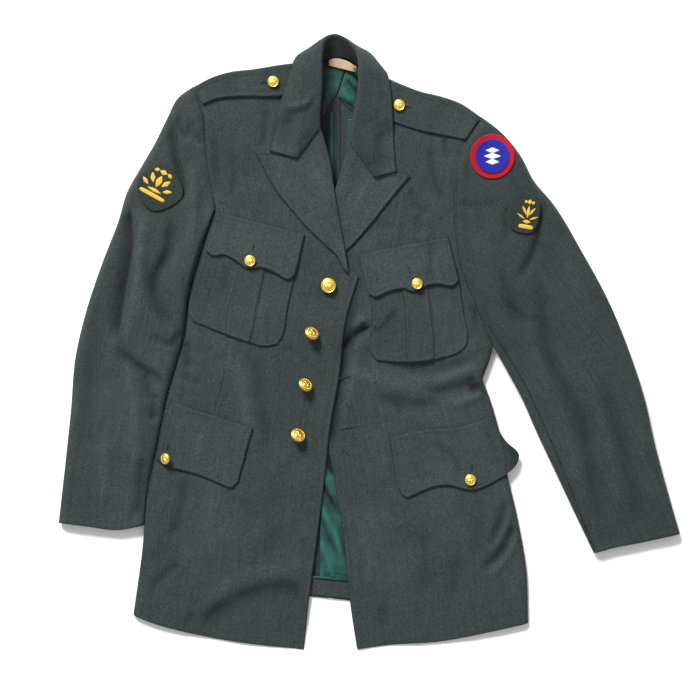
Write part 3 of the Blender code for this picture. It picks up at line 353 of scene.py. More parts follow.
def curve_at(table: Points, at: np.ndarray) -> np.ndarray:
    """A smooth line through a table, read at places counted in the table's rows.

    Args:
        table: The line's points.
        at: Places from 0 to the number of rows less one.

    Returns:
        One point for each place.
    """
    p = np.array(table, float)
    slope = np.gradient(p, axis=0)
    k = np.clip(at.astype(int), 0, len(p) - 2)
    a, b, c, d = blend((at - k)[:, None])
    return a * p[k] + c * slope[k] + b * p[k + 1] + d * slope[k + 1]


def smooth(x: np.ndarray) -> np.ndarray:
    """An even step from 0 to 1."""
    x = np.clip(x, 0, 1)
    return x * x * (3 - 2 * x)


def bell(x: np.ndarray, middle: float, width: float) -> np.ndarray:
    """A rounded hump of height 1."""
    return np.exp(-(((x - middle) / width) ** 2))


def from_table(table: Points, at: np.ndarray, column: int = 1) -> np.ndarray:
    """A smooth reading of one column of a table.

    Args:
        table: Rows whose first column is the place.
        at: Places to read.
        column: The column to read.

    Returns:
        The column's value at each place.
    """
    t = np.array(table, float)
    x, y = t[:, 0], t[:, column]
    slope = np.gradient(y, x)
    at = np.clip(at, x[0], x[-1])
    k = np.clip(np.searchsorted(x, at, side="right") - 1, 0, len(x) - 2)
    h = x[k + 1] - x[k]
    a, b, c, d = blend((at - x[k]) / h)
    return a * y[k] + b * y[k + 1] + (c * slope[k] + d * slope[k + 1]) * h


@dataclass(frozen=True)
class Edge:
    """One side of a sheet: smooth runs that meet at corners, each with its share of the rows."""

    runs: tuple[tuple[Points, float], ...]

    @staticmethod
    def of(*pairs: object) -> "Edge":
        """An edge from points, weight, points, weight and so on. A lone run needs no weight."""
        return Edge(tuple(zip(pairs[::2], pairs[1::2] or (1,))))

    def at(self, shares: np.ndarray) -> np.ndarray:
        """Points of the edge.

        Args:
            shares: Places from 0 to 1.

        Returns:
            One point for each place.
        """
        weight = np.concatenate([[0], np.cumsum([w for _, w in self.runs])])
        starts = weight / weight[-1]
        which = np.clip(np.searchsorted(starts, shares, side="right") - 1, 0, len(self.runs) - 1)
        found = np.empty((len(shares), len(self.runs[0][0][0])))
        for k, (points, _) in enumerate(self.runs):
            chosen = which == k
            local = (shares[chosen] - starts[k]) / (starts[k + 1] - starts[k])
            found[chosen] = spread(dense(points), local)
        return found


def between(low: Points, high: Points) -> tuple[Edge, Edge, Edge, Edge]:
    """The four sides of a sheet between two lines that run the same way."""
    first, last = Edge.of((low[0], high[0])), Edge.of((low[-1], high[-1]))
    return first, last, Edge.of(low), Edge.of(high)


def filled(sides: Sequence[np.ndarray], u: np.ndarray, v: np.ndarray) -> np.ndarray:
    """A grid in plan between four rows of points.

    Args:
        sides: The points where u is 0, u is 1, v is 0 and v is 1.
        u: Shares of the columns.
        v: Shares of the rows.

    Returns:
        The grid's points, rows by columns by two.
    """
    first, last, low, high = sides
    a, b, c, d = first[:, None], last[:, None], low[None], high[None]
    u, v = u[None, :, None], v[:, None, None]
    corners = (1 - u) * (1 - v) * c[:, :1] + u * (1 - v) * c[:, -1:]
    corners = corners + (1 - u) * v * d[:, :1] + u * v * d[:, -1:]
    return (1 - u) * a + u * b + (1 - v) * c + v * d - corners


def patch(first: Edge, last: Edge, low: Edge, high: Edge, u: np.ndarray, v: np.ndarray) -> np.ndarray:
    """A grid in plan between four edges."""
    return filled((first.at(v), last.at(v), low.at(u), high.at(u)), u, v)


def across(grid: np.ndarray) -> np.ndarray:
    """The grid with its rows and columns changed round."""
    return np.swapaxes(grid, 0, 1)


def respaced(grid: np.ndarray, start: Sequence[float] = (), stop: Sequence[float] = ()) -> np.ndarray:
    """The grid with columns at set distances from its ends, in place of the ones that stood there.

    Args:
        grid: The grid in plan.
        start: Distances from the first column, rising.
        stop: Distances from the last column, falling to 0.

    Returns:
        The grid, with as many columns in between as lie clear of both ends in its widest row.
    """
    along = np.array([lengths(line) for line in grid])
    wide = along[np.argmax(along[:, -1])]
    head, tail = (start[-1] * 1.2 if len(start) else 0.0), (stop[0] * 1.1 if len(stop) else 0.0)
    inner = np.flatnonzero((wide >= head) & (wide <= wide[-1] - tail))
    rows = []
    for line, at in zip(grid, along):
        own = at[inner]
        low, high = max(own[0], head), min(own[-1], at[-1] - tail)
        own = low + (own - own[0]) * (high - low) / (own[-1] - own[0])
        place = np.concatenate([np.array(start), own, at[-1] - np.array(stop)])
        rows.append(spread(line, place / at[-1]))
    return np.array(rows)


def turned(radius: float) -> np.ndarray:
    """Distances from a fold at which the columns of a turned edge stand."""
    return radius * (1 - np.sin(TURN))


def keeps(columns: int) -> np.ndarray:
    """How much of its height cloth keeps at each column of a grid whose last edge is turned."""
    return np.concatenate([np.ones(columns - TURN_STEPS), np.cos(TURN)])


def arcs(grid: np.ndarray) -> np.ndarray:
    """How far along its row each grid point is."""
    steps = np.linalg.norm(np.diff(grid, axis=1), axis=2)
    return np.concatenate([np.zeros((len(grid), 1)), np.cumsum(steps, axis=1)], axis=1)


def from_sides(grid: np.ndarray) -> list[np.ndarray]:
    """How far each grid point is from the sides where u is 0, u is 1, v is 0 and v is 1."""
    over, up = arcs(grid), across(arcs(across(grid)))
    return [over, over[:, -1:] - over, up, up[-1:] - up]


def unit(v: np.ndarray) -> np.ndarray:
    """Vectors of length 1 along the last axis."""
    return v / np.maximum(np.linalg.norm(v, axis=-1, keepdims=True), 1e-9)


def normals(grid: np.ndarray) -> np.ndarray:
    """Unit normals of a grid of points in space, on the side that faces up."""
    n = unit(np.cross(np.gradient(grid, axis=1), np.gradient(grid, axis=0)))
    return n * np.where(n[..., 2:] < 0, -1, 1)


def with_level(plan: np.ndarray, z: np.ndarray) -> np.ndarray:
    """The plan's points at the levels z."""
    return np.concatenate([plan[..., :2], np.broadcast_to(z, plan.shape[:2])[..., None]], axis=2)


def softened(z: np.ndarray, turns: int) -> np.ndarray:
    """Each value replaced by its four neighbours' mean, again and again."""
    for _ in range(turns):
        w = np.pad(z, 1, mode="edge")
        z = (w[:-2, 1:-1] + w[2:, 1:-1] + w[1:-1, :-2] + w[1:-1, 2:]) / 4
    return z


def bridged(need: np.ndarray, turns: int, hold: float = 1.0) -> np.ndarray:
    """Levels that are never below need and slope away from its peaks.

    Args:
        need: The lowest levels.
        turns: How far the slopes reach.
        hold: What each turn keeps of the level.

    Returns:
        The levels.
    """
    z = need
    for _ in range(turns):
        z = np.maximum(need, hold * softened(z, 1))
    return z


class Unevenness:
    """Soft random relief of one size, the same on every run."""

    def __init__(self, seed: int, size: float) -> None:
        """Keeps a table of random values, size millimetres apart."""
        self.values = np.random.default_rng(seed).uniform(-1, 1, (64, 64))
        self.size = size

    def at(self, x: np.ndarray, y: np.ndarray) -> np.ndarray:
        """The relief at points in plan, from -1 to 1."""
        gx, gy = x / self.size + 31.7, y / self.size + 29.3
        i, j = np.floor(gx).astype(int), np.floor(gy).astype(int)
        s, t = smooth(gx - i), smooth(gy - j)
        pick = lambda a, b: self.values[(i + a) % 64, (j + b) % 64]
        low = pick(0, 0) * (1 - s) + pick(1, 0) * s
        return low * (1 - t) + (pick(0, 1) * (1 - s) + pick(1, 1) * s) * t


SWELL, PUCKER, CRUMPLE = Unevenness(3, 62), Unevenness(5, 27), Unevenness(9, 11)


def uneven(plan: np.ndarray, swell: float = 1.1, pucker: float = 0.6, crumple: float = 0.2) -> np.ndarray:
    """The cloth's own unevenness at a grid's points.

    Args:
        plan: The grid.
        swell: Height of the widest relief, in millimetres.
        pucker: Height of the middle one.
        crumple: Height of the finest one.

    Returns:
        Levels to add.
    """
    x, y = plan[..., 0], plan[..., 1]
    return swell * SWELL.at(x, y) + pucker * PUCKER.at(x, y) + crumple * CRUMPLE.at(x, y)


@dataclass(frozen=True)
class Trail:
    """A smooth line, which grid points are near it, and each one's nearest place on it."""

    line: np.ndarray
    near: np.ndarray
    far: np.ndarray
    gap: np.ndarray
    span: np.ndarray
    share: np.ndarray

    @staticmethod
    def of(path: Points, pace: float, fewest: int, reach: float, plan: np.ndarray) -> "Trail | None":
        """Follows a path past a grid.

        Args:
            path: The line's points.
            pace: The length of one of its spans, in millimetres.
            fewest: How many spans it has at least.
            reach: How far out a grid point still counts.
            plan: The grid in plan.

        Returns:
            The trail, or None if no point is near.
        """
        line = curve(path, max(fewest, int(lengths(np.array(path, float))[-1] / pace)))
        low, high = line.min(axis=0) - reach, line.max(axis=0) + reach
        near = ((plan[..., :2] > low) & (plan[..., :2] < high)).all(axis=2)
        if not near.any():
            return None
        p, a, d = plan[near][:, :2], line[:-1], np.diff(line, axis=0)
        t = np.clip(np.einsum("nkj,kj->nk", p[:, None] - a[None], d) / (d**2).sum(axis=1), 0, 1)
        gap = p[:, None] - (a[None] + t[..., None] * d[None])
        far = np.linalg.norm(gap, axis=2)
        best = (np.arange(len(p)), far.argmin(axis=1))
        return Trail(line, near, far[best], gap[best], best[1], t[best])


@dataclass(frozen=True)
class Fold:
    """A soft ridge or trough along a path.

    height is above 0 for a ridge. left and right are the widths, as seen along the path. Among shades, the
    height is painted light above 0 and painted shade below 0.
    """

    path: Points
    height: float
    left: float
    right: float
    start: float = 0.22
    stop: float = 0.22

    def relief(self, plan: np.ndarray) -> np.ndarray:
        """The fold's level at a grid's points, in millimetres."""
        found = np.zeros(plan.shape[:2])
        trail = Trail.of(self.path, 5, 8, 3 * max(self.left, self.right), plan)
        if trail is None:
            return found
        best, g, way = trail.span, trail.gap, np.diff(trail.line, axis=0)[trail.span]
        side = way[:, 0] * g[:, 1] - way[:, 1] * g[:, 0]
        width = np.where(side > 0, self.left, self.right)
        share = (best + trail.share) / (len(trail.line) - 1)
        ends = smooth(share / self.start) * smooth((1 - share) / self.stop)
        beat = 1 + 0.22 * PUCKER.at(trail.line[best, 0] * 1.3 + 40, trail.line[best, 1] * 1.3)
        found[trail.near] = self.height * bell(trail.far, 0, width) * ends * beat
        return found


def relief(folds: Iterable[Fold], plan: np.ndarray) -> np.ndarray:
    """All the folds' levels at a grid's points, added up."""
    return sum((f.relief(plan) for f in folds), np.zeros(plan.shape[:2]))


def deeper(folds: Iterable[Fold], factor: float) -> tuple[Fold, ...]:
    """The same folds, higher or deeper by a factor."""
    return tuple(replace(f, height=f.height * factor) for f in folds)


def painted_shading(folds: Iterable[Fold], shades: Iterable[Fold], plan: np.ndarray, depth: float) -> np.ndarray:
    """The shade and light painted into the cloth's colour: above 0, painted shade in its creases; below 0,
    painted light on its ridges.

    Args:
        folds: The folds, in millimetres.
        shades: Places of painted shade, with heights from -1 to 0, and a few of painted light, with heights
            above 0.
        plan: The grid.
        depth: The depth of fold that counts as 1.

    Returns:
        Values from -0.6 to 1.3.
    """
    return np.clip(-relief(folds, plan) / depth - relief(shades, plan), -0.6, 1.3)


def distance_to(lines: Iterable[Points], plan: np.ndarray) -> np.ndarray:
    """How far each grid point is from the nearest of some lines, FAR at most.

    Args:
        lines: The lines in plan.
        plan: The grid.

    Returns:
        Distances in millimetres.
    """
    found = np.full(plan.shape[:2], FAR)
    for path in lines:
        trail = Trail.of(path, 4, 4, FAR + 2, plan)
        if trail is not None:
            found[trail.near] = np.minimum(found[trail.near], trail.far)
    return found


class Terrain:
    """The level of everything laid so far, in squares of one millimetre."""

    HALF = 470
    STEP = 0.8  # between two readings of a face, in millimetres

    def __init__(self) -> None:
        """Starts with nothing laid."""
        self.level = np.full((2 * self.HALF, 2 * self.HALF), -1.0)
        self.wide: dict[int, np.ndarray] = {}

    def square(self, points: np.ndarray) -> tuple[np.ndarray, np.ndarray]:
        """The square that each point lies in."""
        at = np.clip(np.floor(points[..., :2]).astype(int) + self.HALF, 0, 2 * self.HALF - 1)
        return at[..., 0], at[..., 1]

    def lay(self, grid: np.ndarray) -> None:
        """Adds the upper face of a sheet.

        Args:
            grid: The face's points in space.
        """
        widest = max(np.linalg.norm(np.diff(grid, axis=k), axis=2).max() for k in (0, 1))
        finer = max(1, int(math.ceil(widest / self.STEP)))
        last = [count - 1 for count in grid.shape[:2]]
        v, u = (np.linspace(0, count, count * finer + 1) for count in last)
        i, j = np.minimum(v.astype(int), last[0] - 1), np.minimum(u.astype(int), last[1] - 1)
        s, t = (v - i)[:, None, None], (u - j)[None, :, None]
        upper = grid[i][:, j] * (1 - t) + grid[i][:, j + 1] * t
        lower = grid[i + 1][:, j] * (1 - t) + grid[i + 1][:, j + 1] * t
        fine = (upper * (1 - s) + lower * s).reshape(-1, 3)
        np.maximum.at(self.level, self.square(fine), fine[:, 2])
        self.wide.clear()

    def under(self, plan: np.ndarray, reach: int = 2) -> np.ndarray:
        """The highest level at and round each point, or -1 where nothing lies.

        Args:
            plan: Points in plan, in an array of any form whose last axis holds X and Y.
            reach: How far round to look, in millimetres.

        Returns:
            Levels in millimetres.
        """
        if reach not in self.wide:
            w = self.level
            for axis in (0, 1):
                w = np.max([np.roll(w, k, axis=axis) for k in range(-reach, reach + 1)], axis=0)
            self.wide[reach] = w
        return self.wide[reach][self.square(plan)]


def drape(plan: np.ndarray, terrain: Terrain, turns: int = 220, reach: int = 2) -> np.ndarray:
    """The level of a sheet that lies on the terrain and bridges its hollows.

    Args:
        plan: The sheet's grid in plan.
        terrain: What it lies on.
        turns: How far it bridges.
        reach: How far round each point it keeps clear, in millimetres.

    Returns:
        Levels of its lower face.
    """
    z = bridged(np.maximum(terrain.under(plan, reach) + LIFT, 0.0), turns)
    soft = softened(z, 4)
    return soft + bridged(np.maximum(z - soft, 0), 3)


def raised(plan: np.ndarray, z: np.ndarray, terrain: Terrain, thick: float) -> np.ndarray:
    """The upper level z of a sheet, lifted smoothly where what lies under it needs room.

    Args:
        plan: The sheet's grid in plan.
        z: Its upper level.
        terrain: What may lie under it.
        thick: Its thickness.

    Returns:
        The new upper level.
    """
    below = terrain.under(plan, 3)
    need = np.maximum(np.where(below >= 0, below + LIFT + 0.5 + thick - z, 0.0), 0.0)
    return z + bridged(need, 700, 0.9988) if need.any() else z


@dataclass(frozen=True)
class Cut:
    """What a sheet is cut from, in metres, with what it lies on and what is on it."""

    width: float
    length: float
    area: float
    rests: tuple[str, ...] = ()
    carries: tuple[str, ...] = ()


@dataclass
class Shell:
    """A closed sheet of cloth between an upper and a lower grid of points, in millimetres.

    round gives how far each border swells outward, in shares of half the thickness, for the sides where u
    is 0, u is 1, v is 0 and v is 1.
    """

    name: str
    upper: np.ndarray
    lower: np.ndarray
    round: tuple[float, float, float, float] = (1.0, 1.0, 1.0, 1.0)
    line: np.ndarray | None = None
    # The next two hold the shade painted into the cloth at each grid point, light where below 0: first for
    # both faces, then for the lower face alone.
    painted_shade: np.ndarray | None = None
    painted_shade_below: np.ndarray | None = None

    def ring(self) -> tuple[np.ndarray, np.ndarray]:
        """The border's grid places, in order.

        Returns:
            The places as numbers in the flattened grid, and how far the border swells at each.
        """
        rows, columns = self.upper.shape[:2]
        place = np.arange(rows * columns).reshape(rows, columns)
        first, last, low, high = self.round
        runs = (
            (place[0, :-1], low, first),
            (place[:-1, -1], last, low),
            (place[-1, :0:-1], high, last),
            (place[:0:-1, 0], first, high),
        )
        swell = [[min(own, before)] + [own] * (len(run) - 1) for run, own, before in runs]
        return np.concatenate([run for run, _, _ in runs]), np.concatenate(swell)

    @property
    def middle(self) -> np.ndarray:
        """The face halfway between the two."""
        return (self.upper + self.lower) / 2

    def outward(self) -> np.ndarray:
        """Directions out of the sheet at its border's points, one for each grid point."""
        mid = self.middle
        out = np.zeros_like(mid)
        out[:, 0] += unit(mid[:, 0] - mid[:, 1])
        out[:, -1] += unit(mid[:, -1] - mid[:, -2])
        out[0] += unit(mid[0] - mid[1])
        out[-1] += unit(mid[-1] - mid[-2])
        return unit(out)

    def solid(self) -> tuple[np.ndarray, np.ndarray]:
        """The closed mesh.

        Returns:
            Its points in millimetres and its four-sided faces.
        """
        rows, columns = self.upper.shape[:2]
        count = rows * columns
        ring, swell = self.ring()
        up, low = self.upper.reshape(-1, 3), self.lower.reshape(-1, 3)
        out = self.outward().reshape(-1, 3)[ring]
        middle, half = (up[ring] + low[ring]) / 2, (up[ring] - low[ring]) / 2
        size = np.linalg.norm(half, axis=1, keepdims=True) * swell[:, None]
        rim = [middle + half * math.cos(a) + out * size * math.sin(a) for a in map(math.radians, RIM_ANGLES)]
        points = np.vstack([up, low, *rim])
        r, c = np.meshgrid(np.arange(rows - 1), np.arange(columns - 1), indexing="ij")
        a = (r * columns + c).ravel()
        top = np.stack([a, a + 1, a + columns + 1, a + columns], axis=1)
        faces = [top, top[:, ::-1] + count]
        n = len(ring)
        levels = [ring, *(2 * count + k * n + np.arange(n) for k in range(len(rim))), ring + count]
        for above, below in zip(levels, levels[1:]):
            faces.append(np.stack([above, below, np.roll(below, -1), np.roll(above, -1)], axis=1))
        every = np.vstack(faces)
        q = points[every]
        volume = np.einsum("ij,ij->i", q[:, 0], np.cross(q[:, 1], q[:, 2])).sum()
        volume += np.einsum("ij,ij->i", q[:, 0], np.cross(q[:, 2], q[:, 3])).sum()
        return points, (every if volume > 0 else every[:, ::-1])

    def spread_out(self, values: np.ndarray) -> np.ndarray:
        """Values of the grid's points, given to every point of the closed mesh."""
        flat = values.reshape(len(self.upper) * self.upper.shape[1], *values.shape[2:])
        ring, _ = self.ring()
        return np.concatenate([flat, flat, *[flat[ring]] * len(RIM_ANGLES)])

    def build(self) -> bpy.types.Object:
        """Makes the object, with a UV map in metres, the attribute line for dark seam lines and painted
        shadow along edges, and the attribute of painted shade and light.

        Returns:
            The object, linked to the scene.
        """
        points, faces = self.solid()
        made = new_object(self.name, points, faces)
        over, _, up, _ = from_sides(self.middle)
        uv = self.spread_out(np.stack([over - over[:, -1:] / 2, up], axis=2)) * MM
        lay = made.data.uv_layers.new(name="UVMap")
        corners = np.empty(len(made.data.loops), dtype=np.int32)
        made.data.loops.foreach_get("vertex_index", corners)
        lay.data.foreach_set("uv", uv[corners].ravel())
        shape = self.upper.shape[:2]
        line = np.full(shape, FAR) if self.line is None else self.line
        painted_shade = self.spread_out(np.zeros(shape) if self.painted_shade is None else self.painted_shade)
        if self.painted_shade_below is not None:
            count = self.painted_shade_below.size
            painted_shade[count : 2 * count] = self.painted_shade_below.ravel()
        give(made, "line", self.spread_out(line))
        give(made, "painted_shade", painted_shade)
        return made


def in_scene(name: str, data: bpy.types.ID) -> bpy.types.Object:
    """A new object with some data, linked to the scene."""
    made = bpy.data.objects.new(name, data)
    bpy.context.scene.collection.objects.link(made)
    return made


def give(made: bpy.types.Object, name: str, values: np.ndarray) -> None:
    """Gives a mesh one number for each of its points."""
    made.data.attributes.new(name, "FLOAT", "POINT").data.foreach_set("value", values)


def new_object(name: str, points: np.ndarray, faces: Iterable[Sequence[int]]) -> bpy.types.Object:
    """Adds a smooth-shaded mesh object.

    Args:
        name: The object's name.
        points: Its points in the tables' millimetres.
        faces: Its faces, facing out.

    Returns:
        The object, at the origin.
    """
    mesh = bpy.data.meshes.new(name)
    listed = faces.tolist() if isinstance(faces, np.ndarray) else [tuple(f) for f in faces]
    mesh.from_pydata(((np.asarray(points) - SHIFT) * MM).tolist(), [], listed)
    mesh.update()
    mesh.shade_smooth()
    return in_scene(name, mesh)


def tapered(distance: np.ndarray, reach: float) -> np.ndarray:
    """1 at a border and 0 from reach inward."""
    return smooth(1 - distance / reach)


def hemmed(distance: np.ndarray, height: float = 0.5, groove: float = 0.45) -> np.ndarray:
    """How a stitched edge swells and where the stitches pull it in.

    Args:
        distance: Distance from the edge, in millimetres.
        height: How far the edge swells.
        groove: How deep the stitches lie.

    Returns:
        Levels to add to the upper face.
    """
    swell = height * bell(distance, 3.0, 2.6)
    behind = 0.3 * height * bell(distance, 9.0, 2.4)
    return swell + behind - groove * bell(distance, EDGE_STEPS[STITCH_LINE], 0.75)


def stations(
    length: float, ends: Sequence[Border], spacing: float, extra: Iterable[float] = ()
) -> np.ndarray:
    """Shares at which a sheet's columns or rows stand.

    Args:
        length: The sheet's size that way, in millimetres.
        ends: How it ends at share 0 and at share 1.
        spacing: The usual distance between two.
        extra: More shares to have.

    Returns:
        Rising shares from 0 to 1.
    """
    fixed = [0.0, 1.0, *extra]
    if ends[0] is Border.FREE:
        fixed += [d / length for d in EDGE_STEPS[1:]]
    if ends[1] is Border.FREE:
        fixed += [1 - d / length for d in EDGE_STEPS[1:]]
    fixed = sorted(fixed)
    every = [0.0]
    for a, b in zip(fixed, fixed[1:]):
        n = max(1, int(round((b - a) * length / spacing)))
        every += [a + (b - a) * k / n for k in range(1, n + 1)]
    return np.array(every)


@dataclass
class Overlay:
    """A sheet laid on others: its outline, how its sides end, and how far its free edges lift.

    The borders are for the sides where u is 0, u is 1, v is 0 and v is 1.
    """

    name: str
    first: Edge
    last: Edge
    low: Edge
    high: Edge
    borders: tuple[Border, Border, Border, Border]
    thick: float = FACED
    spacing: float = 2.2
    curl: float = 1.2
    extra: tuple[float, ...] = ()
    folds: tuple[Fold, ...] = ()
    lines: tuple[Points, ...] = ()
    swell: float = 0.24
    shades: tuple[Fold, ...] = ()
    lifts: tuple[Fold, ...] = ()  # where it stands clear of what it lies on
    seams: tuple[float, ...] = ()  # columns' shares that have a pressed fold, with a painted shade line along it
    double: bool = False  # a second line of stitches below its sewn top
    shape: Callable[[np.ndarray, np.ndarray, np.ndarray, np.ndarray], np.ndarray] | None = None

    def plan(self) -> tuple[np.ndarray, np.ndarray, np.ndarray]:
        """The grid in plan, and its shares.

        Returns:
            The grid, its columns' shares and its rows' shares.
        """
        sides = self.first, self.last, self.low, self.high
        rough = patch(*sides, np.linspace(0, 1, 9), np.linspace(0, 1, 9))
        wide, tall = (float(np.median(arcs(grid)[:, -1])) for grid in (rough, across(rough)))
        second = (0.8, SECOND_LINE - 0.8, SECOND_LINE, SECOND_LINE + 0.8) if self.double else ()
        u = stations(wide, self.borders[:2], self.spacing, self.extra)
        v = stations(tall, self.borders[2:], self.spacing, [1 - d / tall for d in second])
        return patch(*sides, u, v), u, v

    def make(self, terrain: Terrain) -> Shell:
        """The sheet as it lies.

        Args:
            terrain: What it lies on. The sheet is laid on it.

        Returns:
            The sheet.
        """
        plan, u, v = self.plan()
        far = from_sides(plan)
        over, _, _, down = far
        free = [d for d, border in zip(far, self.borders) if border is Border.FREE]
        near = np.min(free, axis=0) if free else np.full(plan.shape[:2], NOWHERE)
        low = drape(plan, terrain) + self.curl * np.exp(-near / 7.0)
        low = low + np.maximum(0, uneven(plan, 0.25, 0.2, 0.1))
        fold = relief(self.folds, plan)
        low = low + np.maximum(fold, 0) + relief(self.lifts, plan)
        top = low + self.thick + np.minimum(fold, 0) * 0.35
        if self.shape is not None:
            top = top + self.shape(u[None, :] + 0 * over, v[:, None] + 0 * over, near, over)
        top = top + hemmed(near, self.swell, self.swell * 0.9)
        upper, lower = with_level(plan, top), with_level(plan, low)
        terrain.lay(upper)
        # Dark lines: along the listed seams, and painted shadow along the free edges, the pleat's folds and
        # the sewn top.
        line = np.minimum(distance_to(self.lines, plan), near + EDGE_SHADE)
        for share in self.seams:
            line = np.minimum(line, np.abs(over - share * over[:, -1:]) + 0.2)
        if self.double:
            line = np.minimum(line, np.minimum(down + 0.1, np.abs(down - SECOND_LINE) + 0.85))
        # Painted shade in the folds' troughs and along the shades, and painted light on the ridges.
        painted_shade = painted_shading(self.folds, self.shades, plan, 4.0)
        rounds = tuple(1.0 if b is Border.FREE else 0.4 for b in self.borders)
        return Shell(self.name, upper, lower, rounds, line, painted_shade)


class Value:
    """A number in a shader. Arithmetic on it adds Math nodes."""

    def __init__(self, shader: "Shader", socket: bpy.types.NodeSocket) -> None:
        """Keeps the socket and the shader it belongs to."""
        self.shader, self.socket = shader, socket

    def join(self, operation: str, other: object = None, swapped: bool = False) -> "Value":
        """One Math node.

        Args:
            operation: The node's operation.
            other: The second number, where the operation has one.
            swapped: True if the second number comes first.

        Returns:
            The node's result.
        """
        values = {0: other, 1: self} if swapped else {0: self, 1: other}
        values = {k: v for k, v in values.items() if v is not None}
        made = self.shader.node("ShaderNodeMath", {"operation": operation}, values)
        return Value(self.shader, made.outputs[0])

    def __add__(self, other: object) -> "Value":
        """Sum."""
        return self.join("ADD", other)

    def __radd__(self, other: object) -> "Value":
        """Sum, the other way round."""
        return self.join("ADD", other, True)

    def __sub__(self, other: object) -> "Value":
        """Difference."""
        return self.join("SUBTRACT", other)

    def __rsub__(self, other: object) -> "Value":
        """Difference, the other way round."""
        return self.join("SUBTRACT", other, True)

    def __mul__(self, other: object) -> "Value":
        """Product."""
        return self.join("MULTIPLY", other)

    def __rmul__(self, other: object) -> "Value":
        """Product, the other way round."""
        return self.join("MULTIPLY", other, True)

    def __truediv__(self, other: object) -> "Value":
        """Quotient."""
        return self.join("DIVIDE", other)

    def sine(self) -> "Value":
        """Sine."""
        return self.join("SINE")

    def clamped(self) -> "Value":
        """The number, held between 0 and 1."""
        return self.join("MAXIMUM", 0.0).join("MINIMUM", 1.0)


def feed(tree: bpy.types.NodeTree, socket: bpy.types.NodeSocket, value: object) -> None:
    """Sets a socket or links it.

    Args:
        tree: The socket's tree.
        socket: The input.
        value: A number, a colour, a Value or an output.
    """
    if isinstance(value, Value):
        value = value.socket
    if isinstance(value, bpy.types.NodeSocket):
        tree.links.new(value, socket)
    elif isinstance(value, (tuple, list)) and len(value) == 3 and socket.type == "RGBA":
        socket.default_value = (*value, 1.0)
    else:
        socket.default_value = value


def add_node(
    tree: bpy.types.NodeTree, kind: str, settings: dict | None = None, values: dict | None = None
) -> bpy.types.Node:
    """Adds one node.

    Args:
        tree: The tree that it joins.
        kind: The node's type.
        settings: Its own settings, set first.
        values: Numbers, colours or links for its sockets, by name or number.

    Returns:
        The node.
    """
    made = tree.nodes.new(kind)
    for name, value in (settings or {}).items():
        setattr(made, name, value)
    for name, value in (values or {}).items():
        feed(tree, made.inputs[name], value)
    return made


class Shader:
    """A material with one Principled surface, built node by node."""

    def __init__(self, name: str) -> None:
        """Starts an empty material of a name."""
        self.material = bpy.data.materials.new(name)
        self.material.use_nodes = True
        self.tree = self.material.node_tree
        self.tree.nodes.clear()
        self.surface = self.node("ShaderNodeBsdfPrincipled")
        self.node("ShaderNodeOutputMaterial", None, {"Surface": self.surface.outputs["BSDF"]})

    def node(self, kind: str, settings: dict | None = None, values: dict | None = None) -> bpy.types.Node:
        """Adds one node to the material."""
        return add_node(self.tree, kind, settings, values)

    def finished(self, values: dict) -> bpy.types.Material:
        """Sets or links the surface's own sockets, by name, and gives the material."""
        for name, value in values.items():
            feed(self.tree, self.surface.inputs[name], value)
        return self.material

    def place(self) -> bpy.types.NodeSocket:
        """Object coordinates, in metres."""
        return self.node("ShaderNodeTexCoord").outputs["Object"]

    def cloth_place(self) -> bpy.types.NodeSocket:
        """The UV map, in metres along the cloth."""
        return self.node("ShaderNodeUVMap", {"uv_map": "UVMap"}).outputs["UV"]

    def attribute(self, name: str) -> Value:
        """One of the mesh's own numbers."""
        found = self.node("ShaderNodeAttribute", {"attribute_type": "GEOMETRY", "attribute_name": name})
        return Value(self, found.outputs["Fac"])

    def noise(self, place: bpy.types.NodeSocket, size: float, detail: float = 2.0) -> Value:
        """Noise from 0 to 1.

        Args:
            place: Coordinates in metres.
            size: The size of its grain in metres.
            detail: How many finer layers it has.

        Returns:
            The noise.
        """
        values = {"Vector": place, "Scale": 1 / size, "Detail": detail, "Roughness": 0.55}
        made = self.node("ShaderNodeTexNoise", {"noise_dimensions": "3D"}, values)
        return Value(self, made.outputs[0])

    def stretched(self, place: bpy.types.NodeSocket, scale: tuple, turn: float = 0.0) -> bpy.types.NodeSocket:
        """Coordinates turned about Z and then scaled.

        Args:
            place: The coordinates.
            scale: Three factors.
            turn: The turn in degrees.

        Returns:
            The new coordinates.
        """
        point, angles = {"vector_type": "POINT"}, (0.0, 0.0, math.radians(turn))
        first = self.node("ShaderNodeMapping", point, {"Vector": place, "Rotation": angles})
        return self.node("ShaderNodeMapping", point, {"Vector": first.outputs[0], "Scale": scale}).outputs[0]

    def parts(self, place: bpy.types.NodeSocket) -> tuple[Value, Value]:
        """The first two of some coordinates."""
        split = self.node("ShaderNodeSeparateXYZ", None, {"Vector": place})
        return Value(self, split.outputs[0]), Value(self, split.outputs[1])

    def mixed(self, first: object, second: object, factor: object) -> bpy.types.NodeSocket:
        """A colour between two.

        Args:
            first: The colour at 0.
            second: The colour at 1.
            factor: Where between them.

        Returns:
            The colour.
        """
        settings = {"data_type": "RGBA", "blend_type": "MIX", "clamp_factor": True}
        return self.node("ShaderNodeMix", settings, {0: factor, 6: first, 7: second}).outputs[2]

    def scaled(self, colour: object, factor: Value) -> bpy.types.NodeSocket:
        """A colour made lighter or darker by a number."""
        values = {0: colour, "Scale": factor}
        return self.node("ShaderNodeVectorMath", {"operation": "SCALE"}, values).outputs[0]

    def bump(self, height: Value, distance: float, strength: float = 1.0) -> None:
        """Gives the surface a fine relief.

        Args:
            height: The relief, about 0 to 1.
            distance: Its height in metres.
            strength: How strongly it shows.
        """
        values = {"Height": height, "Distance": distance, "Strength": strength}
        self.finished({"Normal": self.node("ShaderNodeBump", None, values).outputs["Normal"]})


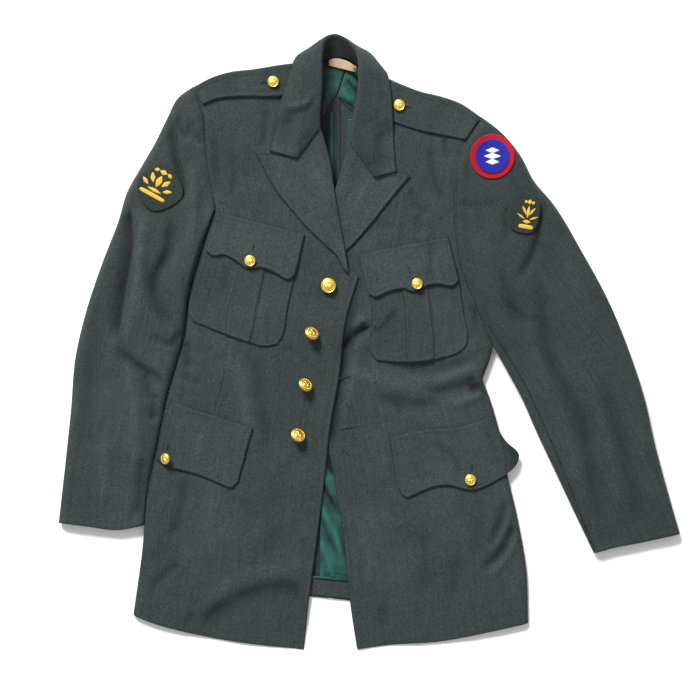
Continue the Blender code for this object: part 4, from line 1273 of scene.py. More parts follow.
@dataclass(frozen=True)
class Serge:
    """Wool serge: a fine diagonal rib under a short nap, with a little mottling and lint, and with shade and
    light painted from the mesh's attributes.
    """

    name: str = "serge_cloth"
    dark: tuple[float, float, float] = (0.0072, 0.0125, 0.0130)
    light: tuple[float, float, float] = (0.0405, 0.0550, 0.0538)
    # Painted light: the whole serge made lighter or darker for the pieces it dresses.
    painted_light: float = 1.0
    rib: float = 0.0011
    grain: float = 0.30

    def build(self) -> bpy.types.Material:
        """Makes the material."""
        s = Shader(self.name)
        place, cloth = s.place(), s.cloth_place()
        broad, patchy = s.noise(place, 0.085, 2), s.noise(place, 0.012, 3)
        fine, finest = s.noise(place, 0.0025, 2), s.noise(place, 0.0015, 1)
        streak = s.noise(s.stretched(cloth, (1.0, 0.22, 1.0), 34), 0.0016, 2)
        warp = s.noise(s.stretched(cloth, (1.0, 0.06, 1.0)), 0.0045, 2)
        over, up = s.parts(cloth)
        rib = ((over + up * 0.62) * (2 * math.pi / self.rib)).sine() * 0.5 + 0.5
        level = 0.5 + (fine - 0.5) * 1.05 + (finest - 0.5) * 0.95 + (streak - 0.5) * 0.6 + (rib - 0.5) * 0.28
        level = level + (patchy - 0.5) * 0.24 + (broad - 0.5) * 0.45 + (warp - 0.5) * 0.45
        colour = s.mixed(self.dark, self.light, level.clamped())
        lint = ((finest * 0.6 + fine * 0.4 - 0.66) * 9).clamped()
        colour = s.mixed(colour, (0.12, 0.14, 0.12), lint * 0.35)
        # Painted shade: dark lines at seams and as shadow along edges, and the painted shade and light of
        # each point.
        seam = ((1.45 - s.attribute("line")) / 1.1).clamped()
        shade = (1.0 - seam * 0.66) * (1.0 - s.attribute("painted_shade") * 0.5) * self.painted_light
        height = rib * 0.42 + fine * 0.55 + finest * 0.5 + patchy * 0.4 - seam * 1.0
        s.bump(height, 0.00045, self.grain * 2.2)
        values = {"Base Color": s.scaled(colour, shade), "Roughness": 0.88, "Specular IOR Level": 0.25}
        return s.finished({**values, "Sheen Weight": 0.05, "Sheen Roughness": 0.5})


@dataclass(frozen=True)
class Satin:
    """Lining satin: smooth and slightly glossy, with the finest of cross threads."""

    name: str = "satin_lining"
    dark: tuple[float, float, float] = (0.0010, 0.0065, 0.0060)
    light: tuple[float, float, float] = (0.017, 0.096, 0.076)
    roughness: float = 0.42

    def build(self) -> bpy.types.Material:
        """Makes the material."""
        s = Shader(self.name)
        place, cloth = s.place(), s.cloth_place()
        thread = s.noise(s.stretched(cloth, (1.0, 0.08, 1.0)), 0.0012, 2)
        broad = s.noise(place, 0.02, 2)
        # Painted shade in the folds' troughs and along the shades, painted light on ridges.
        level = (thread - 0.5) * 0.5 + (broad - 0.5) * 0.9 + 0.55 - s.attribute("painted_shade") * 0.6
        s.bump(thread * 0.4 + broad * 0.6, 0.0002, 0.4)
        colour = s.mixed(self.dark, self.light, level.clamped())
        return s.finished({"Base Color": colour, "Roughness": self.roughness, "Specular IOR Level": 0.3})


@dataclass(frozen=True)
class Metal:
    """Polished brass, with painted shade where the relief is deep and round the rim and back, which also
    makes it rougher there.
    """

    name: str = "brass_buttons"
    bright: tuple[float, float, float] = (1.0, 0.72, 0.165)
    # the colour of the painted shade
    deep: tuple[float, float, float] = (0.34, 0.16, 0.02)

    def build(self) -> bpy.types.Material:
        """Makes the material."""
        s = Shader(self.name)
        place = s.place()
        painted_shade, rub = s.attribute("painted_shade").clamped(), s.noise(place, 0.002, 2)
        # Painted shade from the mesh mixes in the deep colour.
        colour = s.mixed(self.bright, self.deep, (painted_shade * 0.85 + (rub - 0.5) * 0.15).clamped())
        rough = 0.27 + rub * 0.12 + painted_shade * 0.2
        return s.finished({"Base Color": colour, "Roughness": rough, "Metallic": 1.0})


@dataclass(frozen=True)
class Thread:
    """Embroidery: close parallel threads with a slight gloss."""

    name: str
    colour: tuple[float, float, float]
    roughness: float = 0.55
    turn: float = 0.0
    pitch: float = 0.0011
    depth: float = 0.35

    def build(self) -> bpy.types.Material:
        """Makes the material."""
        s = Shader(self.name)
        place = s.place()
        over, _ = s.parts(s.stretched(place, (1.0, 1.0, 1.0), self.turn))
        rows = (over * (2 * math.pi / self.pitch)).sine() * 0.5 + 0.5
        speck = s.noise(place, 0.0016, 2)
        shade = 1.0 - self.depth * (1.0 - rows) * 0.6 - (speck - 0.5) * self.depth
        s.bump(rows * 0.6 + speck * 0.4, 0.0003, 0.5)
        colour = s.scaled(self.colour, shade)
        return s.finished({"Base Color": colour, "Roughness": self.roughness, "Specular IOR Level": 0.2})


@dataclass(frozen=True)
class Plain:
    """One even colour with a faint grain."""

    name: str
    colour: tuple[float, float, float]
    roughness: float = 0.8
    grain: float = 0.12

    def build(self) -> bpy.types.Material:
        """Makes the material."""
        s = Shader(self.name)
        speck = s.noise(s.place(), 0.0015, 2)
        colour = s.scaled(self.colour, 1.0 + (speck - 0.5) * self.grain)
        return s.finished({"Base Color": colour, "Roughness": self.roughness})


@dataclass(frozen=True)
class Repeater:
    """A Geometry Nodes tree that sets one small round body after another along lines.

    Sizes are in metres. seed picks how the bodies differ.
    """

    step: float
    length: float
    width: float
    vary: float = 0.12
    seed: int = 4
    segments: int = 6
    rings: int = 4

    def tree(self, name: str) -> bpy.types.NodeTree:
        """Builds the tree.

        Args:
            name: The tree's name.

        Returns:
            The tree, with inputs named Step, Length, Width, Vary, Seed and Finish.
        """
        tree = bpy.data.node_groups.new(name, "GeometryNodeTree")
        kinds = {"Geometry": "Geometry", "Seed": "Int", "Finish": "Material"}
        for title in ("Geometry", "Step", "Length", "Width", "Vary", "Seed", "Finish"):
            kind = "NodeSocket" + kinds.get(title, "Float")
            tree.interface.new_socket(title, in_out="INPUT", socket_type=kind)
        tree.interface.new_socket("Geometry", in_out="OUTPUT", socket_type="NodeSocketGeometry")
        given = add_node(tree, "NodeGroupInput").outputs

        def made(kind: str, settings: dict | None = None, values: dict | None = None) -> bpy.types.NodeSocket:
            """The first output of a new node."""
            return add_node(tree, kind, settings, values).outputs[0]

        line = made("GeometryNodeMeshToCurve", None, {"Mesh": given["Geometry"]})
        length = {"Curve": line, "Length": given["Step"]}
        points = made("GeometryNodeResampleCurve", {"mode": "LENGTH"}, length)
        ball = {"Segments": self.segments, "Rings": self.rings, "Radius": 0.5}
        body = made("GeometryNodeSetShadeSmooth", None, {0: made("GeometryNodeMeshUVSphere", None, ball)})
        tangent = {"Vector": made("GeometryNodeInputTangent")}
        turn = made("FunctionNodeAlignRotationToVector", {"axis": "X"}, tangent)
        size = made("ShaderNodeCombineXYZ", None, {0: given["Length"], 1: given["Width"], 2: given["Width"]})
        chance = add_node(tree, "FunctionNodeRandomValue", {"data_type": "FLOAT"}, {"Seed": given["Seed"]})
        limits = [s for s in chance.inputs if s.name in ("Min", "Max") and s.enabled]
        for limit, operation in zip(limits, ("SUBTRACT", "ADD")):
            feed(tree, limit, made("ShaderNodeMath", {"operation": operation}, {0: 1.0, 1: given["Vary"]}))
        factor = [s for s in chance.outputs if s.enabled][0]
        scale = made("ShaderNodeVectorMath", {"operation": "SCALE"}, {0: size, "Scale": factor})
        put = {"Points": points, "Instance": body, "Rotation": turn, "Scale": scale}
        spread = made("GeometryNodeInstanceOnPoints", None, put)
        real = made("GeometryNodeRealizeInstances", None, {0: spread})
        dressed = made("GeometryNodeSetMaterial", None, {"Geometry": real, "Material": given["Finish"]})
        add_node(tree, "NodeGroupOutput", None, {0: dressed})
        return tree

    def along(self, name: str, lines: Sequence[np.ndarray], finish: bpy.types.Material) -> bpy.types.Object:
        """Sets the bodies along lines.

        Args:
            name: The new object's name.
            lines: Lines of points in the tables' millimetres.
            finish: The bodies' material.

        Returns:
            A plain mesh object.
        """
        points, edges = [], []
        for line in lines:
            start = len(points)
            points += ((np.asarray(line) - SHIFT) * MM).tolist()
            edges += [(start + k, start + k + 1) for k in range(len(line) - 1)]
        mesh = bpy.data.meshes.new(name + "_lines")
        mesh.from_pydata(points, edges, [])
        guide = in_scene(name + "_lines", mesh)
        tree = self.tree(name + "_tree")
        modifier = guide.modifiers.new("along", "NODES")
        modifier.node_group = tree
        inputs = {
            "Step": self.step, "Length": self.length, "Width": self.width,
            "Vary": self.vary, "Seed": self.seed, "Finish": finish,
        }
        for item in tree.interface.items_tree:
            if item.in_out == "INPUT" and item.name in inputs:
                modifier[item.identifier] = inputs[item.name]
        bpy.context.view_layer.update()
        shown = guide.evaluated_get(bpy.context.evaluated_depsgraph_get())
        baked = bpy.data.meshes.new_from_object(shown)
        bpy.data.objects.remove(guide)
        baked.name = name
        if not baked.materials:
            baked.materials.append(finish)
        return in_scene(name, baked)


@dataclass(frozen=True)
class Half:
    """One side's body and sleeve, with the rows that each run of its outer edge takes."""

    side: Side
    way: int
    side_rows: int
    waist_rows: int
    armhole_rows: int
    edge: Points
    roll: Points
    neck: Points
    seam: Points
    waist: Points
    armhole: Points
    shoulder: Points
    hem: Points
    back_hem: Points
    back_neck: Points
    sleeve_outer: Points
    sleeve_inner: Points
    cuff: Points

    @property
    def rows(self) -> int:
        """Rows of the body, before its shoulder is turned."""
        return self.side_rows + self.armhole_rows

    def outer(self) -> Edge:
        """The body's edge from its hem to its shoulder."""
        below = self.side_rows - self.waist_rows
        return Edge.of(self.seam, below, self.waist, self.waist_rows, self.armhole, self.armhole_rows)


RIGHT_HALF = Half(
    Side.RIGHT, -1, 16, 5, 6, RIGHT_EDGE, RIGHT_ROLL, RIGHT_NECK, RIGHT_SIDE, RIGHT_WAIST, RIGHT_ARMHOLE,
    RIGHT_SHOULDER, RIGHT_HEM, BACK_HEM_RIGHT, BACK_NECK_RIGHT, SLEEVE_OUTER_RIGHT, SLEEVE_INNER_RIGHT,
    CUFF_RIGHT,
)
LEFT_HALF = Half(
    Side.LEFT, 1, 12, 2, 11, LEFT_EDGE, LEFT_ROLL, LEFT_NECK, LEFT_SIDE, LEFT_WAIST, LEFT_ARMHOLE,
    LEFT_SHOULDER, LEFT_HEM, BACK_HEM_LEFT, BACK_NECK_LEFT, SLEEVE_OUTER_LEFT, SLEEVE_INNER_LEFT,
    CUFF_LEFT,
)


def side_turn(rows: int, side_rows: int, finer: int) -> np.ndarray:
    """How much each row turns down at its side: all of it up to the armpit, and none along the armhole.

    Args:
        rows: How many rows there are.
        side_rows: The armpit's row in the coarse count.
        finer: Rows for each coarse one.

    Returns:
        One share a row, as a column.
    """
    s = side_rows
    at = np.arange(rows) / finer
    return np.interp(at, [0, s - 2, s - 1, s, s + 1, s + 2], [1, 1, 0.75, 0.45, 0.12, 0])[:, None]


@dataclass
class Front:
    """A front: its outer wall turns down to the seams at its side and its shoulder."""

    half: Half
    folds: tuple[Fold, ...]
    lines: tuple[Points, ...]
    shades: tuple[Fold, ...] = ()
    tuck: float = 1.6  # how far the roll edge is drawn in under its lapel
    armhole_line: np.ndarray | None = None
    roll_rows: tuple[int, int] = (6, 3)

    def plan(self) -> np.ndarray:
        """The grid in plan, from the front edge to the side and from the hem to the shoulder."""
        h = self.half
        roll, neck = self.roll_rows
        edge = Edge.of(h.edge, h.rows - roll - neck, h.roll, roll, h.neck, neck)
        u, v = np.linspace(0, 1, 61), np.linspace(0, 1, h.rows * FINER + 1)
        grid = patch(edge, h.outer(), Edge.of(h.hem), Edge.of(h.shoulder), u, v)
        grid = respaced(grid, EDGE_STEPS, turned(BULGE_SIDE))
        return across(respaced(across(grid), (), turned(BULGE_SHOULDER)))

    def level(self, plan: np.ndarray) -> np.ndarray:
        """Level of the upper face before it turns down, with its folds.

        Args:
            plan: The grid in plan.

        Returns:
            Levels in millimetres.
        """
        over = arcs(plan)
        share = over / over[:, -1:]
        edge, middle, side = (from_table(FRONT_LEVELS, plan[..., 1], k) for k in (1, 2, 3))
        z = edge + (middle - edge) * smooth(share / 0.4) + (side - middle) * smooth((share - 0.5) / 0.4)
        return z + relief(self.folds, plan) + uneven(plan, 1.4, 0.8, 0.3)

    def make(self, terrain: Terrain) -> Shell:
        """The front as it lies.

        Args:
            terrain: What it lies on. The front is laid on it.

        Returns:
            The front.
        """
        h, plan = self.half, self.plan()
        rows, columns = plan.shape[:2]
        over = arcs(plan)
        top = raised(plan, self.level(plan), terrain, CLOTH)
        top = top + hemmed(over, 0.3, 0.25)
        amount, keep = side_turn(rows, h.side_rows, FINER), keeps(columns)[None]
        mid = from_table(SIDE_MID, plan[:, -1, 1])[:, None] + SEAM / 2
        level = mid + (top - mid) * (1 - amount * (1 - keep))
        level = level - 0.8 * tapered(over[:, -1:] - over, 9.0) * (1 - amount)
        seam = SHOULDER_MID + SEAM / 2
        level = seam + (level - seam) * keeps(rows)[:, None]
        outer = with_level(plan, level)
        armpit = h.side_rows * FINER
        self.armhole_line = plan[armpit:, -1, :2].copy()
        inner = outer - CLOTH * normals(outer)
        inner[:armpit, -1, 2] = outer[:armpit, -1, 2]
        inner[-1, :, 2] = outer[-1, :, 2]
        terrain.lay(outer)
        drawn = self.tuck * self.under_lapel(rows)[:, None] * tapered(over, 6.0)
        way = unit(plan[:, 1] - plan[:, 0])[:, None, :]
        for face in (outer, inner):
            face[..., :2] += drawn[..., None] * way
        # Painted shadow along the front edge; painted shade in the folds, along the shades and where the side
        # turns down, and painted light on ridges.
        line = np.minimum(distance_to(self.lines, plan), over + 0.55)
        painted_shade = painted_shading(self.folds, self.shades, plan, 6.0) + 0.8 * (1 - keep) * amount
        name = "front_" + h.side.value
        return Shell(name, outer, inner, (1.0, 0.2, 1.0, 0.2), line, painted_shade)

    def under_lapel(self, rows: int) -> np.ndarray:
        """1 in the rows beside the lapel's roll, and 0 elsewhere."""
        roll, neck = self.roll_rows
        start = (self.half.rows - roll - neck) * FINER
        at = np.arange(rows)
        return smooth((at - start) / 8) * smooth(((self.half.rows - neck) * FINER + 4 - at) / 8)


@dataclass
class Back:
    """A back: flat on the floor, and turned up to the seams at its side and its shoulder."""

    half: Half
    folds: tuple[Fold, ...]
    shades: tuple[Fold, ...] = ()
    finer: int = 6

    def make(self, terrain: Terrain) -> Shell:
        """The back as it lies.

        Args:
            terrain: The back's inner face is laid on it.

        Returns:
            The back.
        """
        h = self.half
        middle = np.array(curve(BACK_SEAM, 40)) + (h.way * 0.02, 0)
        neck = [tuple(middle[-1]), *h.back_neck[1:]]
        hem = [tuple(middle[0]), *h.back_hem[1:]]
        u, v = np.linspace(0, 1, 57), np.linspace(0, 1, h.rows * self.finer + 1)
        grid = patch(
            Edge.of(middle[::4]), h.outer(), Edge.of(hem),
            Edge.of(neck, 2, h.shoulder, 6), u, v,
        )
        grid = respaced(grid, (), turned(BULGE_SIDE))
        plan = across(respaced(across(grid), (), turned(BULGE_SHOULDER)))
        rows, columns = plan.shape[:2]
        mid = from_table(SIDE_MID, plan[:, -1, 1])[:, None] - SEAM / 2
        level = mid * side_turn(rows, h.side_rows, self.finer) * (1 - keeps(columns)[None])
        share = np.linspace(0, 1, columns)
        rise = (1 - keeps(rows))[:, None] * np.clip((share - 0.125) / 0.125, 0, 1)[None]
        over = arcs(plan)
        flat = tapered(over[:, -1:] - over, 60) + tapered(over, 12)
        soft = np.maximum(relief(self.folds, plan) + uneven(plan, 0.5, 0.25, 0.1), 0)
        level = level + soft * (1 - np.clip(flat, 0, 1))
        outer = with_level(plan, level + (SHOULDER_MID - SEAM / 2 - level) * rise)
        inner = outer + CLOTH * normals(outer)
        armpit = h.side_rows * self.finer
        inner[:armpit, -1, 2] = outer[:armpit, -1, 2]
        turned_up = share >= 0.25
        inner[-1, turned_up, 2] = outer[-1, turned_up, 2]
        terrain.lay(inner)
        # Painted shade where the back turns up to its side, on both faces, and along the shades.
        edge = 0.8 * (1 - keeps(columns)[None]) * np.ones((rows, 1))
        painted_shade = painted_shading((), self.shades, plan, 5.0) + edge
        return Shell("back_" + h.side.value, inner, outer, (0.0, 0.2, 1.0, 0.2), None, painted_shade, edge)


@dataclass
class Sleeve:
    """An upper and an under sleeve, which meet at the two folds."""

    half: Half
    folds: tuple[Fold, ...]
    under_folds: tuple[Fold, ...]
    lines: tuple[Points, ...]
    shades: tuple[Fold, ...] = ()
    gap: float = 0.3
    clearance: float = 0.6
    head_share: float = 0.16
    rows: int = 200
    columns: int = 78

    def plan(self, front: Front, rows: int, columns: int) -> np.ndarray:
        """The grid in plan: rows from the armhole to the cuff, columns from the outer fold to the inner one.

        Args:
            front: The front that it is sewn to.
            rows: Rows less one.
            columns: Columns between the turned edges.

        Returns:
            The grid.
        """
        h = self.half
        seam = front.armhole_line[::-1] + (h.way * self.gap, 0)
        far, near = curve(h.sleeve_outer, rows), curve(h.sleeve_inner, rows) + (h.way * self.clearance, 0)
        end = curve(h.cuff, 60)
        far[0], near[0], end[0], end[-1] = seam[0], seam[-1], far[-1], near[-1]
        u, v = np.linspace(0, 1, 61), np.linspace(0, 1, rows + 1)
        grid = filled((far, near, spread(seam, u), end), u, v)
        made = []
        for k, line in enumerate(grid):
            line = line if k else seam
            long = lengths(line)[-1]
            first = BULGE_SHOULDER + (BULGE_SIDE - BULGE_SHOULDER) * min(1.0, k / rows * 13 / 3)
            head, foot = turned(first)[::-1], long - turned(BULGE_SIDE)
            body = np.linspace(first, long - BULGE_SIDE, columns)
            made.append(spread(line, np.concatenate([head, body, foot]) / long))
        return np.array(made)

    def shape(self, plan: np.ndarray, terrain: Terrain) -> tuple[np.ndarray, np.ndarray, np.ndarray]:
        """The sleeve's levels.

        Args:
            plan: The grid in plan.
            terrain: Where the front lies.

        Returns:
            The upper level without folds, the level of the folds at its sides, and how much of its height
            the cloth keeps at each column.
        """
        rows, columns = plan.shape[:2]
        share = np.linspace(0, 1, rows)[:, None]
        level = from_table(SLEEVE_LEVELS, share) * np.ones((1, columns))
        keep = np.concatenate([np.cos(TURN)[::-1], keeps(columns - TURN_STEPS)])[None]
        mid = level / 2
        own = mid + (level - mid) * keep
        inward = [(self.half.way * d, 0) for d in (2.5, 4.0, 6.0)]
        tops = np.max([terrain.under(plan[0] - step, 1) for step in inward], axis=0)
        known = np.flatnonzero(tops > 0)
        tops = np.interp(np.arange(columns), known, tops[known])
        for _ in range(6):
            w = np.pad(tops, 1, mode="edge")
            tops = (w[:-2] + w[1:-1] + w[2:]) / 3
        blend = smooth(share / self.head_share)
        hold = np.minimum(1.0, keep / 0.45)
        return own + (tops + 0.8 - own) * (1 - blend) * hold, mid, keep

    def make(self, front: Front, terrain: Terrain) -> tuple[Shell, Shell]:
        """Both sleeve pieces as they lie.

        Args:
            front: The front that they are sewn to.
            terrain: Where the front lies. The upper sleeve is laid on it.

        Returns:
            The under and the upper sleeve.
        """
        plan = self.plan(front, self.rows, self.columns)
        level, mid, keep = self.shape(plan, terrain)
        _, inward, down_it, cuff = from_sides(plan)
        fold = relief(self.folds, plan) + uneven(plan, 1.3, 0.7, 0.2)
        head = -1.3 * tapered(down_it, 5.0) + 1.3 * bell(down_it, 11.0, 8.0)
        level = level + fold * np.minimum(1, keep * 1.2) ** 2 * smooth(down_it / 10.0) + head * keep
        level = level + 0.5 * bell(cuff, 3.0, 3.0) * keep
        level = np.maximum(level, mid * 0.55 * keep + mid * (1 - keep) + 0.4)
        up = with_level(plan, np.maximum(level, mid * (1 - 0.9 * keep)) + SEAM / 2)
        up[:, [0, -1], 2] = mid[:, [0, -1]] + SEAM / 2
        within = up - CLOTH * normals(up)
        within[:, [0, -1], 2] = up[:, [0, -1], 2]
        inner_side = smooth(np.linspace(0, 1, plan.shape[1]) * 2 - 1)[None]
        # Painted shade in the folds and shades and where the sleeve turns under at its inner fold, painted
        # light on ridges; a dark line beside the armhole seam and painted shadow along the inner fold.
        painted_shade = painted_shading(self.folds, self.shades, plan, 7.0) + 0.8 * (1 - keep) * inner_side
        line = np.minimum(distance_to(self.lines, plan), np.abs(down_it - 2.6) + 0.35)
        line = np.minimum(line, inward + 0.4)
        name = self.half.side.value
        upper = Shell("sleeve_upper_" + name, up, within, (0.2, 0.2, 0.3, 1.0), line, painted_shade)
        terrain.lay(up)
        coarse, mid = plan[::2], mid[::2]
        soft = np.maximum(relief(self.under_folds, coarse) + uneven(coarse, 0.4, 0.2, 0.1), 0)
        down = with_level(coarse, mid * (1 - keep) + soft * keep**4)
        down[:, [0, -1], 2] = mid[:, [0, -1]] - SEAM / 2
        within = down + CLOTH * normals(down)
        within[:, [0, -1], 2] = down[:, [0, -1], 2]
        # Painted shade where the under sleeve turns up at its inner fold.
        dark = 0.8 * (1 - keep) * inner_side * np.ones((len(coarse), 1))
        under = Shell("sleeve_under_" + name, within, down, (0.2, 0.2, 0.3, 1.0), line[::2], dark)
        return under, upper


@dataclass
class Lapel:
    """A lapel, with its roll wrapped round the front's edge."""

    side: Side
    tables: tuple[Points, Points, Points, Points]
    folds: tuple[Fold, ...]
    shades: tuple[Fold, ...]
    lifts: tuple[Fold, ...]
    radius: float = 1.35
    gorge_share: float = 3 / 7
    tongue: float = 5.0  # how far the lapel reaches under the collar
    long: float = 190.0
    roll_steps: int = 8

    def relief(self, u: np.ndarray, v: np.ndarray, near: np.ndarray, over: np.ndarray) -> np.ndarray:
        """A slight swell beside the roll, and the stitches along the notch."""
        stitched = smooth((u - self.gorge_share) / 0.08)
        return 0.9 * bell(over, 9, 8) + hemmed((1 - v) * self.long, 0.24, 0.22) * stitched

    def make(self, terrain: Terrain) -> tuple[Shell, list[np.ndarray]]:
        """The lapel as it lies, and its stitch lines.

        Args:
            terrain: What it lies on. The lapel is laid on it.

        Returns:
            The lapel, and lines of points.
        """
        roll, outer, notch, gorge = self.tables
        low, high = np.array(gorge[0]), np.array(gorge[-1])
        way = unit(np.array([-(high - low)[1], (high - low)[0]]))
        way = way * np.sign(way[1]) * self.tongue
        share = np.linspace(0, 1, len(gorge))[:, None]
        gorge = [tuple(p) for p in np.array(gorge) + way * np.sin(np.pi * share) ** 0.6]
        sheet = Overlay(
            "lapel_" + self.side.value,
            Edge.of(roll), Edge.of(outer), Edge.of((roll[0], outer[0])),
            Edge.of(gorge[::-1], self.gorge_share, notch[::-1], 1 - self.gorge_share),
            (Border.SEWN, Border.FREE, Border.SEWN, Border.FREE), curl=0.7, extra=(self.gorge_share,),
            folds=self.folds, shades=self.shades, lifts=self.lifts, shape=self.relief,
        )
        shell = sheet.make(terrain)
        hidden = arcs(shell.upper) < self.gorge_share * arcs(shell.upper)[:, -1:]
        hidden[: shell.line.shape[0] // 2] = False
        shell.line = np.where(hidden, FAR, shell.line)
        lines = stitch_lines(sheet, shell)
        lines[-1] = lines[-1][int(self.gorge_share * len(lines[-1])) + 5 :]
        first, second = shell.upper[:, 0], shell.upper[:, 1]
        out = unit((first - second) * (1, 1, 0))
        up = np.array([0.0, 0.0, 1.0])
        thick = first[:, 2:] - shell.lower[:, 0, 2:]
        middle = first - up * thick / 2
        centre = middle - up * self.radius
        angles = np.radians(np.linspace(-55, 75, self.roll_steps))
        rims = []
        for sign in (1.0, -1.0):
            reach = np.maximum(self.radius + sign * thick / 2, 0.08)
            rim = [centre + reach * (math.cos(a) * out + math.sin(a) * up) for a in angles]
            rims.append(np.stack(rim, axis=1))
        shell.upper = np.concatenate([rims[0], shell.upper], axis=1)
        shell.lower = np.concatenate([rims[1], shell.lower], axis=1)
        more = ((0, 0), (self.roll_steps, 0))
        shell.painted_shade = np.pad(shell.painted_shade, more, mode="edge")
        shell.line = np.pad(shell.line, more, constant_values=FAR)
        shell.round = (0.6, 1.0, 0.6, 1.0)
        return shell, lines


def stitch_lines(sheet: Overlay, shell: Shell) -> list[np.ndarray]:
    """Where a sheet's top stitches lie: one line beside each free border.

    Args:
        sheet: The overlay.
        shell: Its shell, as first made.

    Returns:
        Lines of points in space.
    """
    k = STITCH_LINE
    first, last, low, high = (b is Border.FREE for b in sheet.borders)
    rows, columns = shell.upper.shape[:2]
    up, over = slice(k * low, rows - k * high), slice(k * first, columns - k * last)
    places = (up, k), (up, columns - 1 - k), (k, over), (rows - 1 - k, over)
    return [shell.upper[place] for place, free in zip(places, (first, last, low, high)) if free]


@dataclass
class Collar:
    """The collar: its stand round the neck and its fall, turned over at a rounded fold."""

    folds: tuple[Fold, ...]
    shades: tuple[Fold, ...]
    settled: float = 4.0
    deep: float = 50.0
    stations: int = 150
    ends: tuple[float, float, float, float] = (0.4, 1.4, 11.8, 12.8)

    def shares(self) -> np.ndarray:
        """Shares of the fall's columns, from its fold to its free edge."""
        return stations(self.deep, (Border.SEWN, Border.FREE), 2.2)

    def fall(self, place: np.ndarray, terrain: Terrain) -> np.ndarray:
        """The fall's inner face.

        Args:
            place: Stations, counted in the tables' rows.
            terrain: What its ends lie on.

        Returns:
            A grid from the fold to the free edge.
        """
        last = len(FALL_FOLD) - 1
        fold, middle, edge = (curve_at(t, place)[:, None] for t in (FALL_FOLD, FALL_MIDDLE, FALL_EDGE))
        v = self.shares()[None, :, None]
        curved = fold * (1 - v) * (1 - 2 * v) + middle * 4 * v * (1 - v) + edge * v * (2 * v - 1)
        straight = np.where(v < 0.5, fold + (middle - fold) * 2 * v, middle + (edge - middle) * (2 * v - 1))
        tip = np.minimum(place, last - place)
        grid = curved + (straight - curved) * np.clip(1 - tip, 0, 1)[:, None, None]
        below = terrain.under(grid, 2)
        lies = smooth((self.settled - tip) / 0.5)[:, None] * (below > 0)
        below = softened(below, 6)
        share = v[..., 0]
        settle = lies * smooth((share - 0.4) / 0.4) * smooth((2.2 - tip) / 0.8)[:, None]
        rest = 0.9 - 0.5 * smooth((share - 0.8) / 0.2)
        grid[..., 2] += (below + rest - grid[..., 2]) * settle
        sewn = self.sewn_end(grid, share, 26.0)
        for end, own in ((0, place < last / 2), (-1, place > last / 2)):
            drop = np.where(below[end] > 0, below[end] + 0.2 - grid[end, :, 2], 0.0)
            grid[..., 2] += drop * sewn * own[:, None]
        below = terrain.under(grid, 2)
        need = np.maximum(below + 0.5 - 0.4 * sewn - grid[..., 2], 0) * lies
        grid[..., 2] += bridged(need, 150, 0.985)
        return grid

    def sewn_end(self, grid: np.ndarray, share: np.ndarray, reach: float) -> np.ndarray:
        """How near each point is to the seam that joins the collar's ends to the lapels.

        Args:
            grid: The grid.
            share: Each column's share from the fold to the free edge.
            reach: How far the seam is felt, in millimetres.

        Returns:
            1 on the seam, and 0 from reach inward and past the notch.
        """
        return tapered(np.minimum(*from_sides(grid)[2:]), reach) * smooth((0.58 - share) / 0.16)

    def faces(self, terrain: Terrain) -> tuple[np.ndarray, np.ndarray, int]:
        """Both faces of the whole collar.

        Args:
            terrain: What its ends lie on.

        Returns:
            The face that shows, the one behind it, and the column where the fall starts.
        """
        place = np.linspace(0, len(FALL_FOLD) - 1, self.stations + 1)
        fall = self.fall(place, terrain)
        n = one_way(fall, 0)
        fall[..., 2] = np.maximum(fall[..., 2], FACED * np.maximum(-n[..., 2], 0) + 0.5)
        fall = fall + n * FACED / 2
        a, b, c, d = self.ends
        at = np.clip((place - b) / (c - b), 0, 1) * (len(STAND_SEAM) - 1)
        low, high = curve_at(STAND_SEAM, at)[:, None], curve_at(STAND_FOLD, at)[:, None]
        v = np.linspace(0, 1, 9)[None, :, None]
        stand = low * (1 - v) + high * v
        stand = stand + one_way(stand, len(stand) // 2) * CLOTH / 2
        present = (smooth((place - a) / (b - a)) * smooth((d - place) / (d - c)))[:, None, None]
        stub = fall[:, :1] - (0.0, 0.0, 1.0) * (1 - v) * 1.6 - (0.0, 0.0, 1.2)
        stand = stub + (stand - stub) * present
        start, stop = stand[:, -1:], fall[:, :1]
        span = np.linalg.norm(stop - start, axis=2, keepdims=True)
        leave, arrive = unit(stand[:, -1:] - stand[:, -2:-1]) * span, unit(fall[:, 1:2] - fall[:, :1]) * span
        a, b, c, d = blend(np.linspace(0, 1, 7)[None, 1:-1, None])
        roll = a * start + c * leave + b * stop + d * arrive
        middle = np.concatenate([stand, roll, fall], axis=1)
        joint = stand.shape[1] + roll.shape[1]
        n = one_way(middle, 0, joint + fall.shape[1] // 2)
        share = np.clip((np.arange(middle.shape[1]) - joint + 6) / 6, 0, 1)[None, :, None]
        thick = CLOTH + (FACED - CLOTH) * share
        puff = hemmed(from_sides(middle)[1], 0.24, 0.22)[..., None]
        sewn = np.zeros(middle.shape[:2])
        sewn[:, joint:] = self.sewn_end(fall, self.shares()[None], 5.0)
        upper = middle + n * (thick * (0.5 - 0.72 * sewn[..., None]) + puff)
        lower = middle - n * thick / 2
        return upper, lower, joint

